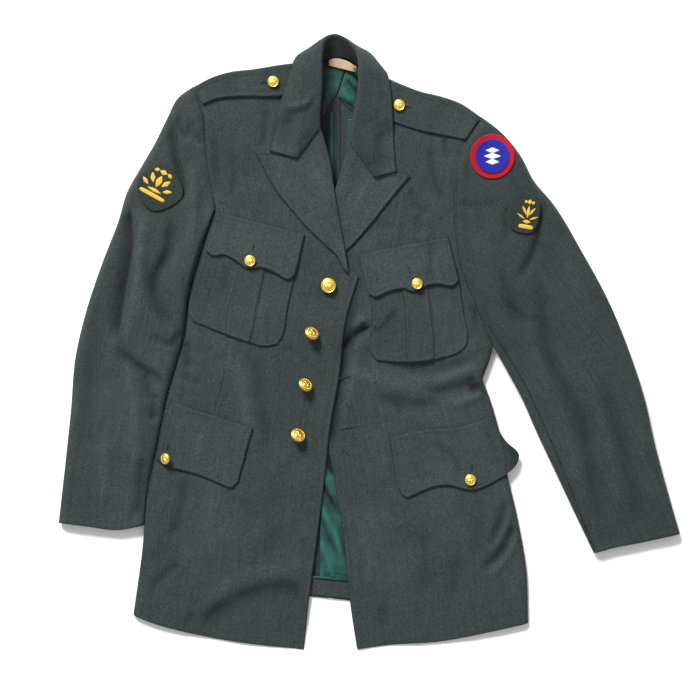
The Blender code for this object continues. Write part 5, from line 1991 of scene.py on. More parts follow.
    def make(self, terrain: Terrain) -> tuple[Shell, list[np.ndarray]]:
        """The collar as it lies, and its stitch line.

        Args:
            terrain: What it lies on. The collar is laid on it.

        Returns:
            The collar, and lines of points.
        """
        upper, lower, joint = self.faces(terrain)
        rows, columns = upper.shape[:2]
        falls = smooth((np.arange(columns) - joint - 2) / 4)[None]
        fold = relief(self.folds, upper) * falls
        upper[..., 2] += np.maximum(fold, -1.1)
        lower[..., 2] += np.maximum(fold, 0)
        terrain.lay(upper)
        over, edge, *ends = from_sides(upper)
        start = over[:, joint : joint + 1]
        sewn = over - start < 0.5 * (over[:, -1:] - start)
        at_end = np.where(falls > 0.5, np.minimum(*ends) + 0.5 * sewn, FAR)
        # Painted shadow along the edges; painted shade inside the stand and in the fall's folds, and painted
        # light on its ridges and under the light shades.
        line = np.minimum(edge, at_end) + EDGE_SHADE
        within = smooth((joint - 1 - np.arange(columns)) / 5)[None] * np.ones((rows, 1))
        painted_shade = painted_shading(self.folds, self.shades, upper, 3.0) * falls + 0.75 * within
        stitches = upper[6:-6, columns - 1 - STITCH_LINE]
        return Shell("collar_fall", upper, lower, (0.5, 1.0, 1.0, 1.0), line, painted_shade), [stitches]


def one_way(grid: np.ndarray, row: int, column: int | None = None) -> np.ndarray:
    """Unit normals of a grid, all on the side that faces up at one place.

    Args:
        grid: The grid.
        row: The place's row.
        column: The place's column, or the middle one.

    Returns:
        The normals.
    """
    n = unit(np.cross(np.gradient(grid, axis=1), np.gradient(grid, axis=0)))
    column = grid.shape[1] // 2 if column is None else column
    return n * np.sign(n[row, column, 2])


@dataclass
class ButtonBody:
    """A domed button on a shank, with a raised rim, a ring of beads and a small rosette."""

    name: str
    x: float
    y: float
    radius: float
    lean: float
    heading: float
    petals: int = 7
    bead_ring: float = 0.66
    crown: float = 0.42

    @property
    def large(self) -> bool:
        """True for a front button."""
        return self.radius > 9

    def dome(self, r: np.ndarray) -> np.ndarray:
        """Level of the plain dome of a button of radius 1."""
        return self.crown - 0.24 * r**2 - 0.06 * r**6

    def height(self, r: np.ndarray, angle: np.ndarray) -> np.ndarray:
        """Level of the face of a button of radius 1.

        Args:
            r: Distances from the middle.
            angle: Directions.

        Returns:
            Levels.
        """
        dome = self.dome(r)
        rim = 0.055 * bell(r, 0.9, 0.05) - 0.04 * bell(r, 0.79, 0.045)
        petal = 0.085 * np.maximum(0, np.cos(self.petals * angle / 2)) ** 0.6
        petal = petal * smooth((r - 0.13) / 0.08) * smooth((0.47 - r) / 0.1)
        heart = 0.06 * smooth((0.12 - r) / 0.05)
        return dome + rim + petal + heart

    def surface(self) -> tuple[np.ndarray, np.ndarray, np.ndarray]:
        """The button's mesh, before it leans.

        Returns:
            Its points, its faces, and the painted shade of each point, from 0 to 1: in the relief's hollows,
            round the rim and on the back.
        """
        sides = 72 if self.large else 56
        angle = np.linspace(0, 2 * math.pi, sides, endpoint=False)
        face = np.concatenate([np.linspace(0.03, 0.5, 13), np.linspace(0.55, 0.96, 13)])
        r, a = np.meshgrid(face, angle, indexing="ij")
        z = self.height(r, a)
        # Painted shade: in the relief's hollows, and full round the rim and on the back.
        deep = 0.6 * np.clip(1 - (z - self.dome(r) + 0.03) / 0.07, 0, 1) * (r < 0.85)
        deep = np.maximum(deep, smooth((r - 0.88) / 0.07))
        back = ((0.985, 0.11), (0.99, 0.04), (0.96, 0.0), (0.6, -0.03), (0.3, -0.05), (0.26, -0.24))
        rr = np.vstack([r, *[np.full((1, sides), b) for b, _ in back]])
        zz = np.vstack([z, *[np.full((1, sides), b) for _, b in back]])
        aa = np.vstack([a, *[angle[None]] * len(back)])
        deep = np.vstack([deep, np.ones((len(back), sides))])
        rings = len(rr)
        points = np.stack([rr * np.cos(aa), rr * np.sin(aa), zz], axis=2).reshape(-1, 3)
        points = np.vstack([points, [(0, 0, self.crown + 0.06)], [(0, 0, -0.24)]]) * self.radius
        ring = [(j, (j + 1) % sides) for j in range(sides)]
        starts = [k * sides for k in range(rings)]
        faces = [(a + j, b + j, b + n, a + n) for a, b in zip(starts, starts[1:]) for j, n in ring]
        top, foot, last = rings * sides, rings * sides + 1, starts[-1]
        faces += [face for j, n in ring for face in ((top, j, n), (foot, last + n, last + j))]
        return points, faces, np.concatenate([deep.ravel(), [0.0, 0.0]])

    def leaned(self, points: np.ndarray) -> np.ndarray:
        """Points turned by the button's lean and moved to its place in plan."""
        a, h = math.radians(self.lean), math.radians(self.heading)
        out, aside = np.array([math.cos(h), math.sin(h)]), np.array([-math.sin(h), math.cos(h)])
        along, up, beside = points[:, :2] @ out, points[:, 2], points[:, :2] @ aside
        along, up = along * math.cos(a) + up * math.sin(a), up * math.cos(a) - along * math.sin(a)
        flat = along[:, None] * out + beside[:, None] * aside + (self.x, self.y)
        return np.column_stack([flat, up])

    def make(self, terrain: Terrain) -> tuple[bpy.types.Object, np.ndarray]:
        """The button standing on what is under it.

        Args:
            terrain: What is under it.

        Returns:
            The object, and the line that its beads follow.
        """
        points, faces, deep = self.surface()
        placed = self.leaned(points)
        rise = SEAM - (placed[:, 2] - terrain.under(placed[:, :2], 1)).min()
        placed[:, 2] += rise
        made = new_object("button_" + self.name + "_face", placed, faces)
        give(made, "painted_shade", deep)
        a = np.linspace(0, 2 * math.pi, 61)
        r = np.full_like(a, self.bead_ring)
        line = np.column_stack([r * np.cos(a), r * np.sin(a), self.height(r, a) - 0.01]) * self.radius
        line = self.leaned(line)
        line[:, 2] += rise
        return made, line


def rotated(at: Sequence[float], over: np.ndarray, up: np.ndarray, turn: float) -> tuple:
    """Places over and up from the point at, on axes turned by an angle in degrees."""
    c, s = math.cos(math.radians(turn)), math.sin(math.radians(turn))
    return at[0] + over * c - up * s, at[1] + over * s + up * c


def rounded(at: Sequence[float], wide: float, tall: float, turn: float, power: float) -> tuple[Edge, ...]:
    """The four sides of a rounded outline.

    Args:
        at: Its middle.
        wide: Half its width.
        tall: Half its height.
        turn: Its turn in degrees.
        power: 1 for an ellipse, less for a squarer outline, and 2 for a lozenge.

    Returns:
        The sides where u is 0, u is 1, v is 0 and v is 1.
    """
    sides = []
    for start, stop in ((225, 135), (-45, 45), (225, 315), (135, 45)):
        a = np.radians(np.linspace(start, stop, 15))
        c, s = np.cos(a), np.sin(a)
        over, up = np.sign(c) * np.abs(c) ** power * wide, np.sign(s) * np.abs(s) ** power * tall
        sides.append(Edge.of(np.column_stack(rotated(at, over, up, turn))))
    return tuple(sides)


def sewn_down(name: str, sides: Sequence[Edge], thick: float, spacing: float, **more: object) -> Overlay:
    """A flat sheet that is sewn down all round.

    Args:
        name: Its name.
        sides: Its four sides.
        thick: Its thickness.
        spacing: The distance between its columns.
        more: More of the overlay's own values.

    Returns:
        The sheet, not laid yet.
    """
    return Overlay(name, *sides, (Border.SEWN,) * 4, thick, spacing, curl=0.0, swell=0.0, **more)


@dataclass(frozen=True)
class Pleat:
    """A pocket's box pleat, between two shares of its width."""

    start: float
    stop: float
    step: float = 0.014
    roll: float = 0.02
    tuck: float = 0.03

    def columns(self) -> tuple[float, ...]:
        """Shares at which the pocket has columns for the pleat."""
        a, b, step, roll = self.start, self.stop, self.step, self.roll
        rising = (a - self.tuck, a - step, a - step / 2, a, a + roll, a + 2 * roll)
        return rising + (b - 2 * roll, b - roll, b, b + step / 2, b + step, b + self.tuck)

    def relief(self, u: np.ndarray, v: np.ndarray, near: np.ndarray, over: np.ndarray) -> np.ndarray:
        """The pleat's raised band, with a small roll along both of its folds."""
        a, b, step = self.start, self.stop, self.step
        band = smooth((u - a + step) / step) * smooth((b + step - u) / step)
        rolls = bell(u - a, self.roll, 0.022) + bell(u - b, -self.roll, 0.022)
        tucks = bell(u - a, -self.tuck, 0.014) + bell(u - b, self.tuck, 0.014)
        return (PLEAT_RAISE * band + 0.5 * rolls - 0.35 * tucks) * (1 - 0.35 * bell(near, 6.0, 3.5))


def ridged(u: np.ndarray, v: np.ndarray, near: np.ndarray, over: np.ndarray) -> np.ndarray:
    """The low stitched ridge along a flap's sewn top."""
    return 0.3 * bell((1 - v) * FLAP_DEEP, 3.2, 2.2)


@dataclass(frozen=True)
class Motif:
    """Small embroidered shapes on a badge: each has a middle, half sizes, a turn and a power, in shares."""

    name: str
    at: Sequence[float]
    shapes: tuple[tuple[float, float, float, float, float, float], ...]
    wide: float
    tall: float
    turn: float
    finish: str

    def make(self, terrain: Terrain) -> bpy.types.Object:
        """The shapes as one mesh, lying on the badge.

        Args:
            terrain: What it lies on.

        Returns:
            The object.
        """
        points, faces, count = [], [], 0
        for over, up, wide, tall, turn, power in self.shapes:
            at = rotated(self.at, over * self.wide, up * self.tall, self.turn)
            sides = rounded(at, wide * self.wide, tall * self.tall, self.turn + turn, power)
            plan, u, v = sewn_down(self.name, sides, 0.55, 0.9).plan()
            low = drape(plan, terrain, 12, reach=1) - LIFT - 0.1
            dome = 0.75 * (np.sin(np.pi * u)[None] * np.sin(np.pi * v)[:, None]).clip(0) ** 0.5
            shell = Shell(self.name, with_level(plan, low + 0.5 + dome), with_level(plan, low), (0.6,) * 4)
            p, f = shell.solid()
            points.append(p)
            faces.append(f + count)
            count += len(p)
        return new_object(self.name, np.vstack(points), np.vstack(faces))
FLAP_FOLDS = {
    "chest_right": (Fold(((-187.6, 177.1), (-193.2, 150.5), (-197.4, 121.1)), -1.2, 5, 5),),
    "chest_left": (Fold(((84, 143.5), (86.8, 115.5), (85.4, 84.7)), -1.6, 5, 5),),
    "hip_left": (
        Fold(((85.4, -136.5), (106.4, -150.5), (120.4, -165.9), (128.8, -186.9)), -1.8, 5, 5),
        Fold(((161, -114.1), (172.2, -143.5), (179.2, -178.5)), -1.4, 6, 6),
    ),
    "hip_right": (Fold(((-229.6, -108.5), (-236.6, -143.5), (-242.2, -178.5)), 0.8, 8, 8),),
}
# Painted shade: a dark line where the hip flap bends round the body's side, and below, its tip darkened where
# it turns away.
FLAP_LINES = {
    "hip_left": (((175, -97.3), (180.6, -115.5), (186.2, -136.5), (190.4, -160.3), (193.2, -185.5)),),
}
FLAP_SHADES = {
    "hip_left": (Fold(((187.6, -111.3), (200.2, -142.1), (207.2, -181.3)), -1.2, 9, 10, 0.02, 0.02),),
}


FRONT_RIGHT_FOLDS = (
    Fold(((-217, 297.5), (-212.8, 248.5), (-215.6, 196.7)), -2.2, 7, 7),
    Fold(((-187.6, 269.5), (-186.2, 234.5), (-190.4, 196.7)), -1.3, 6, 6),
    Fold(((-144.2, 328.3), (-144.2, 297.5), (-148.4, 266.7)), -2.0, 5, 5),
    Fold(((-173.6, -3.5), (-156.8, -38.5), (-149.8, -80.5), (-142.8, -122.5), (-141.4, -167.3)), -2.1, 9, 9),
    Fold(((-194.6, -10.5), (-176.4, -66.5), (-166.6, -122.5), (-163.8, -164.5)), 1.8, 11, 9),
    Fold(((-117.6, -3.5), (-109.2, -13.3), (-99.4, -25.9)), -1.6, 5, 5),
    Fold(((-254.8, 6.3), (-254.8, -18.9), (-250.6, -41.3)), -2.6, 6, 6),
    Fold(((-263.2, -44.1), (-250.6, -52.5), (-233.8, -59.5)), -2.0, 5, 5),
    Fold(((-261.8, -181.3), (-259, -217.7), (-264.6, -248.5), (-281.4, -279.3)), -2.2, 8, 8),
    Fold(
        (
            (-232.4, -406.7), (-217, -381.5), (-187.6, -361.9), (-149.8, -347.9), (-110.6, -343.7),
            (-85.4, -346.5),
        ),
        -3.6, 9, 17, 0.12, 0.1,
    ),
    Fold(((-236.6, -374.5), (-197.4, -343.7), (-149.8, -326.9), (-96.6, -324.1)), 1.4, 13, 10),
    Fold(((-306.6, -363.3), (-299.6, -340.9), (-285.6, -325.5), (-261.8, -310.1)), -2.0, 5, 5),
    Fold(((-247.8, -377.3), (-249.2, -399.7)), -1.4, 5, 5),
    Fold(((-173.6, -217.7), (-163.8, -237.3), (-151.2, -252.7)), -1.3, 8, 8),
    Fold(((-96.6, -273.7), (-85.4, -290.5), (-74.2, -307.3)), -1.3, 8, 8),
    Fold(((-219.8, -122.5), (-217, -206.5), (-228.2, -304.5)), 1.0, 16, 16),
    Fold(((-127.4, -192.5), (-130.2, -262.5), (-141.4, -318.5)), -1.0, 12, 12),
    Fold(((-226.8, 129.5), (-236.6, 73.5), (-247.8, 17.5)), -1.6, 6, 6),
)
FRONT_LEFT_FOLDS = (
    Fold(((85.4, 279.3), (89.6, 241.5), (96.6, 213.5), (107.8, 189.7)), -2.6, 5, 5),
    Fold(((103.6, 286.3), (107.8, 269.5), (112, 251.3)), -2.0, 4.5, 4.5),
    Fold(((57.4, 216.3), (64.4, 193.9), (85.4, 177.1)), -2.2, 5, 5),
    Fold(((68.6, 181.3), (72.8, 149.1)), -1.6, 6, 6),
    Fold(((-36.4, -7.7), (-26.6, 2.1), (-16.8, 11.9), (-1.4, 23.1)), -6.0, 5, 6, 0.1, 0.05),
    Fold(((-26.6, 18.9), (-15.4, 27.3), (-1.4, 37.1)), 2.6, 5, 5),
    Fold(((-12.6, -10.5), (4.2, -20.3), (22.4, -28.7), (71.4, -34.3), (109.2, -23.1)), -1.0, 5, 6),
    Fold(((26.6, -34.3), (78.4, -41.3), (120.4, -32.9), (169.4, -6.3)), -2.0, 9, 8),
    Fold(((50.4, -56.7), (99.4, -52.5), (138.6, -39.9), (161, -30.1)), 1.5, 8, 8),
    Fold(((78.4, -72.1), (113.4, -66.5), (141.4, -58.1), (154, -51.1)), -2.6, 6, 8, 0.3, 0.1),
    Fold(((138.6, -67.9), (148.4, -63.7), (159.6, -59.5)), -4.4, 4, 5, 0.3, 0.05),
    Fold(((106.4, -91.7), (135.8, -81.9), (161, -70.7)), 1.7, 7, 6, 0.3, 0.05),
    Fold(((5.6, -72.1), (22.4, -79.1), (46.2, -84.7), (78.4, -87.5), (102.2, -76.3)), -2.2, 7, 9),
    Fold(((26.6, -60.9), (54.6, -67.9), (82.6, -66.5)), 1.1, 8, 8),
    Fold(((33.6, -83.3), (43.4, -93.1), (46.2, -104.3)), -1.6, 3, 4),
    Fold(((-33.6, -41.3), (15.4, -55.3), (64.4, -63.7)), 1.6, 9, 9),
    Fold(((-18.2, 59.5), (-30.8, -3.5), (-39.2, -59.5), (-49, -122.5), (-56, -167.3)), -3.0, 7, 7, 0.2, 0.2),
    Fold(((-5.6, 59.5), (-15.4, -3.5), (-23.8, -59.5), (-32.2, -122.5)), 1.2, 7, 7),
    Fold(((193.2, -217.7), (186.2, -248.5), (168, -289.1)), -2.9, 4, 6),
    Fold(((198.8, -224.7), (193.2, -254.1), (177.8, -289.1)), 1.3, 4, 5),
    Fold(((204.4, -255.5), (187.6, -291.9), (152.6, -325.5)), -3.3, 4, 6, 0.12, 0.3),
    Fold(((208.6, -269.5), (194.6, -300.3), (163.8, -332.5)), 1.4, 4, 5),
    Fold(((151.2, -217.7), (154, -262.5), (149.8, -307.3)), -1.6, 9, 9),
    Fold(((120.4, -297.5), (123.2, -329.7), (119, -363.3)), -1.4, 9, 9),
    Fold(((78.4, -256.9), (81.2, -311.5), (75.6, -363.3)), -1.6, 10, 10),
    Fold(((22.4, -363.3), (23.8, -405.3)), -1.4, 6, 6),
    Fold(((71.4, -368.9), (72.8, -410.9)), -1.4, 6, 6),
    Fold(((4.2, -220.5), (7, -290.5), (1.4, -360.5)), 1.0, 14, 14),
    Fold(((141.4, -3.5), (149.8, 31.5), (152.6, 59.5)), -1.6, 6, 6),
)
SLEEVE_RIGHT_FOLDS = (
    Fold(((-274.4, 308.7), (-270.2, 269.5), (-263.2, 233.1), (-256.2, 193.9)), -4.4, 5, 6),
    Fold(((-246.4, 258.3), (-242.2, 199.5), (-249.2, 118.3)), 2.4, 8, 9),
    Fold(((-274.4, 181.3), (-281.4, 122.5), (-298.2, 87.5), (-292.6, 45.5), (-270.2, 14.7)), -5.0, 8, 8),
    Fold(((-312.2, 188.3), (-316.4, 115.5), (-317.8, 17.5)), 2.2, 9, 9),
    Fold(((-319.2, 192.5), (-319.2, 129.5), (-326.2, 73.5), (-336, 17.5), (-340.2, -13.3)), 2.6, 10, 5),
    Fold(((-340.2, -18.9), (-330.4, -66.5), (-324.8, -122.5), (-329, -199.5)), 2.4, 9, 9),
    Fold(((-333.2, 188.3), (-331.8, 129.5), (-341.6, 73.5), (-352.8, -0.7)), -5.2, 3, 12, 0.12, 0.14),
    Fold(((-376.6, 59.5), (-382.2, -10.5), (-390.6, -80.5), (-399, -178.5)), -2.4, 14, 12),
    Fold(
        ((-351.4, -3.5), (-340.2, -17.5), (-322, -32.9), (-302.4, -44.1), (-284.2, -63.7)),
        -3.4, 5, 9, 0.25, 0.25,
    ),
    Fold(((-310.8, -38.5), (-305.2, -83.3)), -3.0, 6, 6),
    Fold(((-299.6, -69.3), (-301, -114.1)), -2.8, 6, 6),
    Fold(((-317.8, -157.5), (-319.2, -206.5), (-324.8, -251.3)), -3.4, 7, 7),
    Fold(((-266, 317.1), (-261.8, 296.1), (-249.2, 280.7)), -2.2, 4, 4),
    Fold(((-252, 307.3), (-245, 287.7), (-228.2, 273.7)), -2.0, 4, 4),
    Fold(((-228.2, 266.7), (-225.4, 256.9)), -2.0, 4, 4),
    Fold(((-371, -122.5), (-368.2, -178.5), (-371, -237.3)), 2.0, 10, 8),
    Fold(((-306.6, 10.5), (-278.6, -3.5), (-260.4, 17.5)), -2.2, 6, 6),
)
SLEEVE_LEFT_FOLDS = (
    Fold(((194.6, 196.7), (191.8, 168.7), (197.4, 137.9)), -3.2, 5, 5),
    Fold(((240.8, 205.1), (236.6, 146.3), (224, 112.7), (201.6, 81.9)), -5.0, 6, 6),
    Fold(((117.6, 193.9), (152.6, 189.7), (186.2, 195.3)), -1.8, 5, 5),
    Fold(((135.8, 251.3), (138.6, 217.7)), -1.8, 6, 6),
    Fold(
        (
            (224, 118.3), (239.4, 73.5), (247.8, 3.5), (260.4, -38.5), (281.4, -80.5),
            (301, -122.5), (310.8, -178.5), (323.4, -231.7), (336, -268.1),
        ),
        -5.4, 9, 9,
    ),
    Fold(((320.6, -46.9), (340.2, -94.5), (357, -150.5), (368.2, -195.3), (380.8, -268.1)), -4.6, 9, 9),
    Fold(
        ((214.2, 59.5), (228.2, -3.5), (250.6, -73.5), (273, -119.7), (288.4, -175.7), (301, -237.3)),
        2.4, 9, 9,
    ),
    Fold(((295.4, -24.5), (315, -80.5), (331.8, -133.7), (344.4, -185.5), (355.6, -251.3)), 2.4, 9, 9),
    Fold(((267.4, 157.5), (289.8, 87.5), (312.2, 17.5)), 1.8, 12, 12),
    Fold(((180.6, 112.7), (194.6, 59.5), (211.4, 10.5)), -2.0, 7, 7),
    Fold(((190.4, 59.5), (214.2, 34.3), (245, 28.7)), -2.2, 5, 5),
    Fold(((379.4, -122.5), (387.8, -178.5), (401.8, -234.5)), 1.4, 10, 10),
)
UNDER_RIGHT_FOLDS = (
    Fold(((-278.6, 255.5), (-306.6, 115.5), (-334.6, -24.5)), 2.0, 10, 10),
    Fold(((-355.6, 17.5), (-334.6, -41.3), (-306.6, -69.3)), 2.2, 8, 8),
    Fold(((-362.6, -80.5), (-369.6, -164.5), (-376.6, -234.5)), 1.8, 12, 12),
)
UNDER_LEFT_FOLDS = (
    Fold(((211.4, 171.5), (267.4, 31.5), (309.4, -80.5)), 2.0, 10, 10),
    Fold(((288.4, -108.5), (330.4, -80.5), (365.4, -73.5)), 2.2, 8, 8),
    Fold(((323.4, -136.5), (358.4, -220.5), (371, -262.5)), 1.8, 12, 12),
)
BACK_RIGHT_FOLDS = (
    Fold(((-96.6, 297.5), (-166.6, 199.5), (-201.6, 73.5)), 1.6, 12, 12),
    Fold(((-180.6, -24.5), (-110.6, -80.5), (-65.8, -108.5)), 1.8, 10, 10),
    Fold(((-208.6, -178.5), (-197.4, -276.5), (-205.8, -349.3)), 1.4, 14, 14),
    Fold(((-110.6, -192.5), (-117.6, -304.5)), 1.2, 12, 12),
)
BACK_LEFT_FOLDS = (
    Fold(((15.4, 283.5), (57.4, 185.5), (78.4, 59.5)), 1.6, 12, 12),
    Fold(((113.4, -59.5), (43.4, -91.7), (-23.8, -108.5)), 1.8, 10, 10),
    Fold(((85.4, -178.5), (99.4, -276.5), (93.8, -346.5)), 1.4, 14, 14),
    Fold(((15.4, -206.5), (21, -318.5)), 1.2, 12, 12),
)
SKIRT_FOLDS = (
    Fold(((-71.4, -220.5), (-54.6, -251.3), (-35, -304.5), (-26.6, -329.7)), 2.4, 4, 5, 0.2, 0.1),
    Fold(((-65.8, -178.5), (-49, -220.5), (-33.6, -259.7)), 1.8, 4, 5),
    Fold(((-68.6, -276.5), (-57.4, -304.5), (-49, -331.1)), 2.0, 4, 4, 0.2, 0.1),
    Fold(((-60.2, -203.7), (-50.4, -262.5), (-43.4, -329.7)), -1.4, 4, 4),
)
YOKE_RIGHT_FOLDS = (
    Fold(((-71.4, 378.7), (-77, 350.7), (-71.4, 322.7)), 1.2, 5, 5),
    Fold(((-54.6, 381.5), (-58.8, 353.5), (-61.6, 331.1)), 0.9, 4, 4),
)
YOKE_LEFT_FOLDS = (
    Fold(((-30.8, 370.3), (-23.8, 360.5), (-12.6, 347.9)), -1.6, 3, 3),
    Fold(((-28, 378.7), (-18.2, 367.5), (-7, 354.9)), 1.6, 4, 4),
    Fold(((-36.4, 359.1), (-30.8, 346.5), (-23.8, 333.9)), 1.0, 4, 4),
)
FRONT_RIGHT_LINES = (((-196, 2.1), (-200.2, -24.5), (-207.2, -63.7), (-212.8, -100.1)),)
SLEEVE_LEFT_LINES = (
    (
        (166, 24.5), (186.2, -7.7), (212.8, -51.1), (250.6, -129.5), (280, -200.9),
        (306.6, -268.1), (315, -290.5),
    ),
)
POCKET_RIGHT_FOLDS = (
    Fold(((-200.2, 112.7), (-201.6, 84.7), (-205.8, 56.7)), -1.6, 5, 5),
    Fold(((-149.8, 59.5), (-155.4, 31.5), (-163.8, 6.3)), 0.8, 6, 6),
)
POCKET_LEFT_FOLDS = (
    Fold(((2.8, 17.5), (16.8, 18.9), (29.4, 34.3), (46.2, 51.1)), -3.4, 5, 5, 0.1, 0.3),
    Fold(((106.4, 59.5), (109.2, 24.5), (103.6, -3.5)), 0.8, 7, 7),
)
PLEAT_RIGHT, PLEAT_LEFT = Pleat(0.40, 0.68), Pleat(0.36, 0.64)
# The shapes of the badges' motifs: middle across and up, half width, half height, turn and power.
RANK_SHAPES = (
    (0.0, -0.84, 0.74, 0.13, 0, 0.5),
    (0.0, 0.10, 0.17, 0.40, 0, 1.6),
    (-0.40, 0.16, 0.13, 0.33, 32, 1.6),
    (0.40, 0.16, 0.13, 0.33, -32, 1.6),
    (-0.66, -0.24, 0.11, 0.30, 62, 1.6),
    (0.66, -0.24, 0.11, 0.30, -62, 1.6),
    (0.0, 0.74, 0.22, 0.16, 0, 1.6),
    (-0.38, 0.72, 0.16, 0.12, 24, 1.6),
    (0.38, 0.72, 0.16, 0.12, -24, 1.6),
    (0.0, -0.52, 0.42, 0.12, 0, 1.6),
)
SHOULDER_SHAPES = (
    (0.0, 0.42, 0.50, 0.20, 0, 1.8),
    (0.0, 0.0, 0.62, 0.22, 0, 1.8),
    (0.0, -0.42, 0.50, 0.20, 0, 1.8),
)
# Badges, in the columns name, middle, half width, half height, turn, power, finish, slot and motif.
PATCHES = (
    (
        "patch_rank_right", (-291.2, 214.2), 30.0, 29.0, 25, 0.72, "felt", "badge_cloth",
        Motif("rank_motif_right", (-293.4, 221.9), RANK_SHAPES, 26.0, 22.0, -29, "thread_gold"),
    ),
    (
        "patch_rank_left", (217, 178.5), 20.5, 27.0, -12, 0.72, "felt", "badge_cloth",
        Motif("rank_motif_left", (221.2, 179.2), RANK_SHAPES, 13.5, 22.0, -10, "thread_gold"),
    ),
    (
        "patch_shoulder_left", (171.5, 259), 28.0 * 1.1, 28.0 * 1.1, 0, 1.0, "thread_red", "embroidery",
        Motif("badge_motif", (171.5, 259), SHOULDER_SHAPES, 19.0, 19.0, 0.0, "thread_white"),
    ),
)
COLLAR_FOLDS = (
    Fold(((-120.4, 321.3), (-102.2, 319.9), (-85.4, 324.1), (-72.8, 335.3)), -2.6, 2.4, 3.6, 0.2, 0.1),
    Fold(((-117.6, 328.3), (-100.8, 328.3), (-85.4, 333.9), (-75.6, 343.7)), 2.2, 4, 4),
    Fold(((-96.6, 375.9), (-88.2, 361.9), (-81.2, 343.7)), -1.2, 4, 5),
    Fold(((-107.8, 314.3), (-109.2, 294.7), (-113.4, 275.1)), -0.9, 5, 5),
    Fold(((12.6, 381.5), (18.2, 353.5), (22.4, 325.5)), -1.0, 5, 5),
    Fold(((-9.8, 300.3), (4.2, 308.7), (21, 314.3)), -1.3, 3, 4),
    Fold(((-1.4, 283.5), (12.6, 291.9), (26.6, 296.1)), 0.9, 4, 4),
    Fold(((-43.4, 423.5), (-42, 415.1), (-39.2, 406.7)), -0.9, 2.5, 3),
)
LAPEL_RIGHT_FOLDS = (
    Fold(((-116.2, 255.5), (-96.6, 227.5), (-71.4, 193.9)), -0.9, 5, 5),
    Fold(((-82.6, 269.5), (-71.4, 234.5), (-54.6, 192.5)), 0.7, 6, 6),
)
LAPEL_LEFT_FOLDS = (
    Fold(((40.6, 224.7), (15.4, 203.7), (-4.2, 178.5)), -1.0, 5, 5),
    Fold(((4.2, 233.1), (-9.8, 205.1), (-21, 171.5)), 0.7, 6, 6),
)
# Painted light on the collar's fall, where it tilts away from the light.
COLLAR_SHADES = (Fold(((-1.4, 412.3), (15.4, 374.5), (21, 325.5), (21, 255.5)), 0.32, 26, 26, 0.1, 0.1),)
LAPEL_RIGHT_LIFTS = (
    Fold(((-64.4, 301.7), (-68.6, 296.1), (-84, 279.3), (-100.8, 256.9)), 4.6, 34, 34, 0.02, 0.7),
)
LAPEL_LEFT_LIFTS = (
    Fold(((-29.4, 282.1), (-25.9, 276.5), (-11.2, 252.7), (9.8, 228.9)), 5.4, 34, 34, 0.02, 0.7),
)
# Painted light on the left lapel.
LAPEL_LEFT_SHADES = (Fold(((15.4, 248.5), (-1.4, 199.5), (-23.8, 154.7)), 0.28, 45, 45, 0.02, 0.02),)
FRONT_RIGHT_SHADES = (
    Fold(((-256.2, 59.5), (-261.8, 17.5), (-273, -24.5), (-285.6, -69.3)), -0.55, 7, 9),
    Fold(((-303.8, -122.5), (-306.6, -178.5), (-310.8, -220.5)), -0.35, 6, 6),
    Fold(((-253.4, 283.5), (-242.2, 213.5), (-231, 154.7)), -0.25, 5, 5),
)
FRONT_LEFT_SHADES = (
    Fold(((-12.6, 98.7), (-23.8, 45.5), (-33.6, -10.5), (-39.2, -59.5)), -0.75, 6, 6, 0.15, 0.25),
    Fold(((-39.2, -59.5), (-46.2, -108.5), (-53.2, -153.3)), -0.45, 4, 5),
    Fold(((135.8, 59.5), (152.6, 28.7), (163.8, -3.5)), -0.45, 7, 5),
    Fold(((142.8, -70.7), (152.6, -65.1), (163.8, -70.7)), -1.3, 4, 4, 0.25, 0.02),
    Fold(((112, 283.5), (119, 213.5), (130.2, 143.5), (149.8, 59.5)), -0.2, 5, 5),
)
BACK_RIGHT_SHADES = (
    Fold(((-67.2, 314.3), (-61.6, 269.5), (-53.2, 213.5), (-37.8, 154.7)), -0.9, 9, 9),
    Fold(((-65.8, -167.3), (-72.8, -248.5), (-79.8, -339.5), (-84, -360.5)), -0.95, 8, 8, 0.1, 0.1),
)
BACK_LEFT_SHADES = (
    Fold(((-23.8, 206.5), (-26.6, 178.5), (-32.2, 154.7)), -0.9, 9, 9),
)
SLEEVE_RIGHT_SHADES = (
    Fold(((-333.2, 182.7), (-331.8, 129.5), (-341.6, 73.5), (-352.8, 0.7)), -0.55, 2, 4, 0.12, 0.12),
    Fold(((-351.4, -4.9), (-340.2, -17.5), (-322, -32.9), (-302.4, -44.1)), -0.4, 3, 5),
    Fold(((-256.2, 112.7), (-259, 59.5), (-267.4, 10.5), (-281.4, -27.3)), -0.6, 12, 6),
    Fold(((-306.6, -73.5), (-312.2, -136.5), (-317.8, -227.5)), -0.35, 9, 6),
)
SLEEVE_LEFT_SHADES = (
    Fold(((183.4, 112.7), (200.2, 59.5), (222.6, 10.5)), -0.35, 10, 10),
    Fold(((152.6, 59.5), (169.4, 23.1), (197.4, -27.3)), -0.35, 6, 6),
)
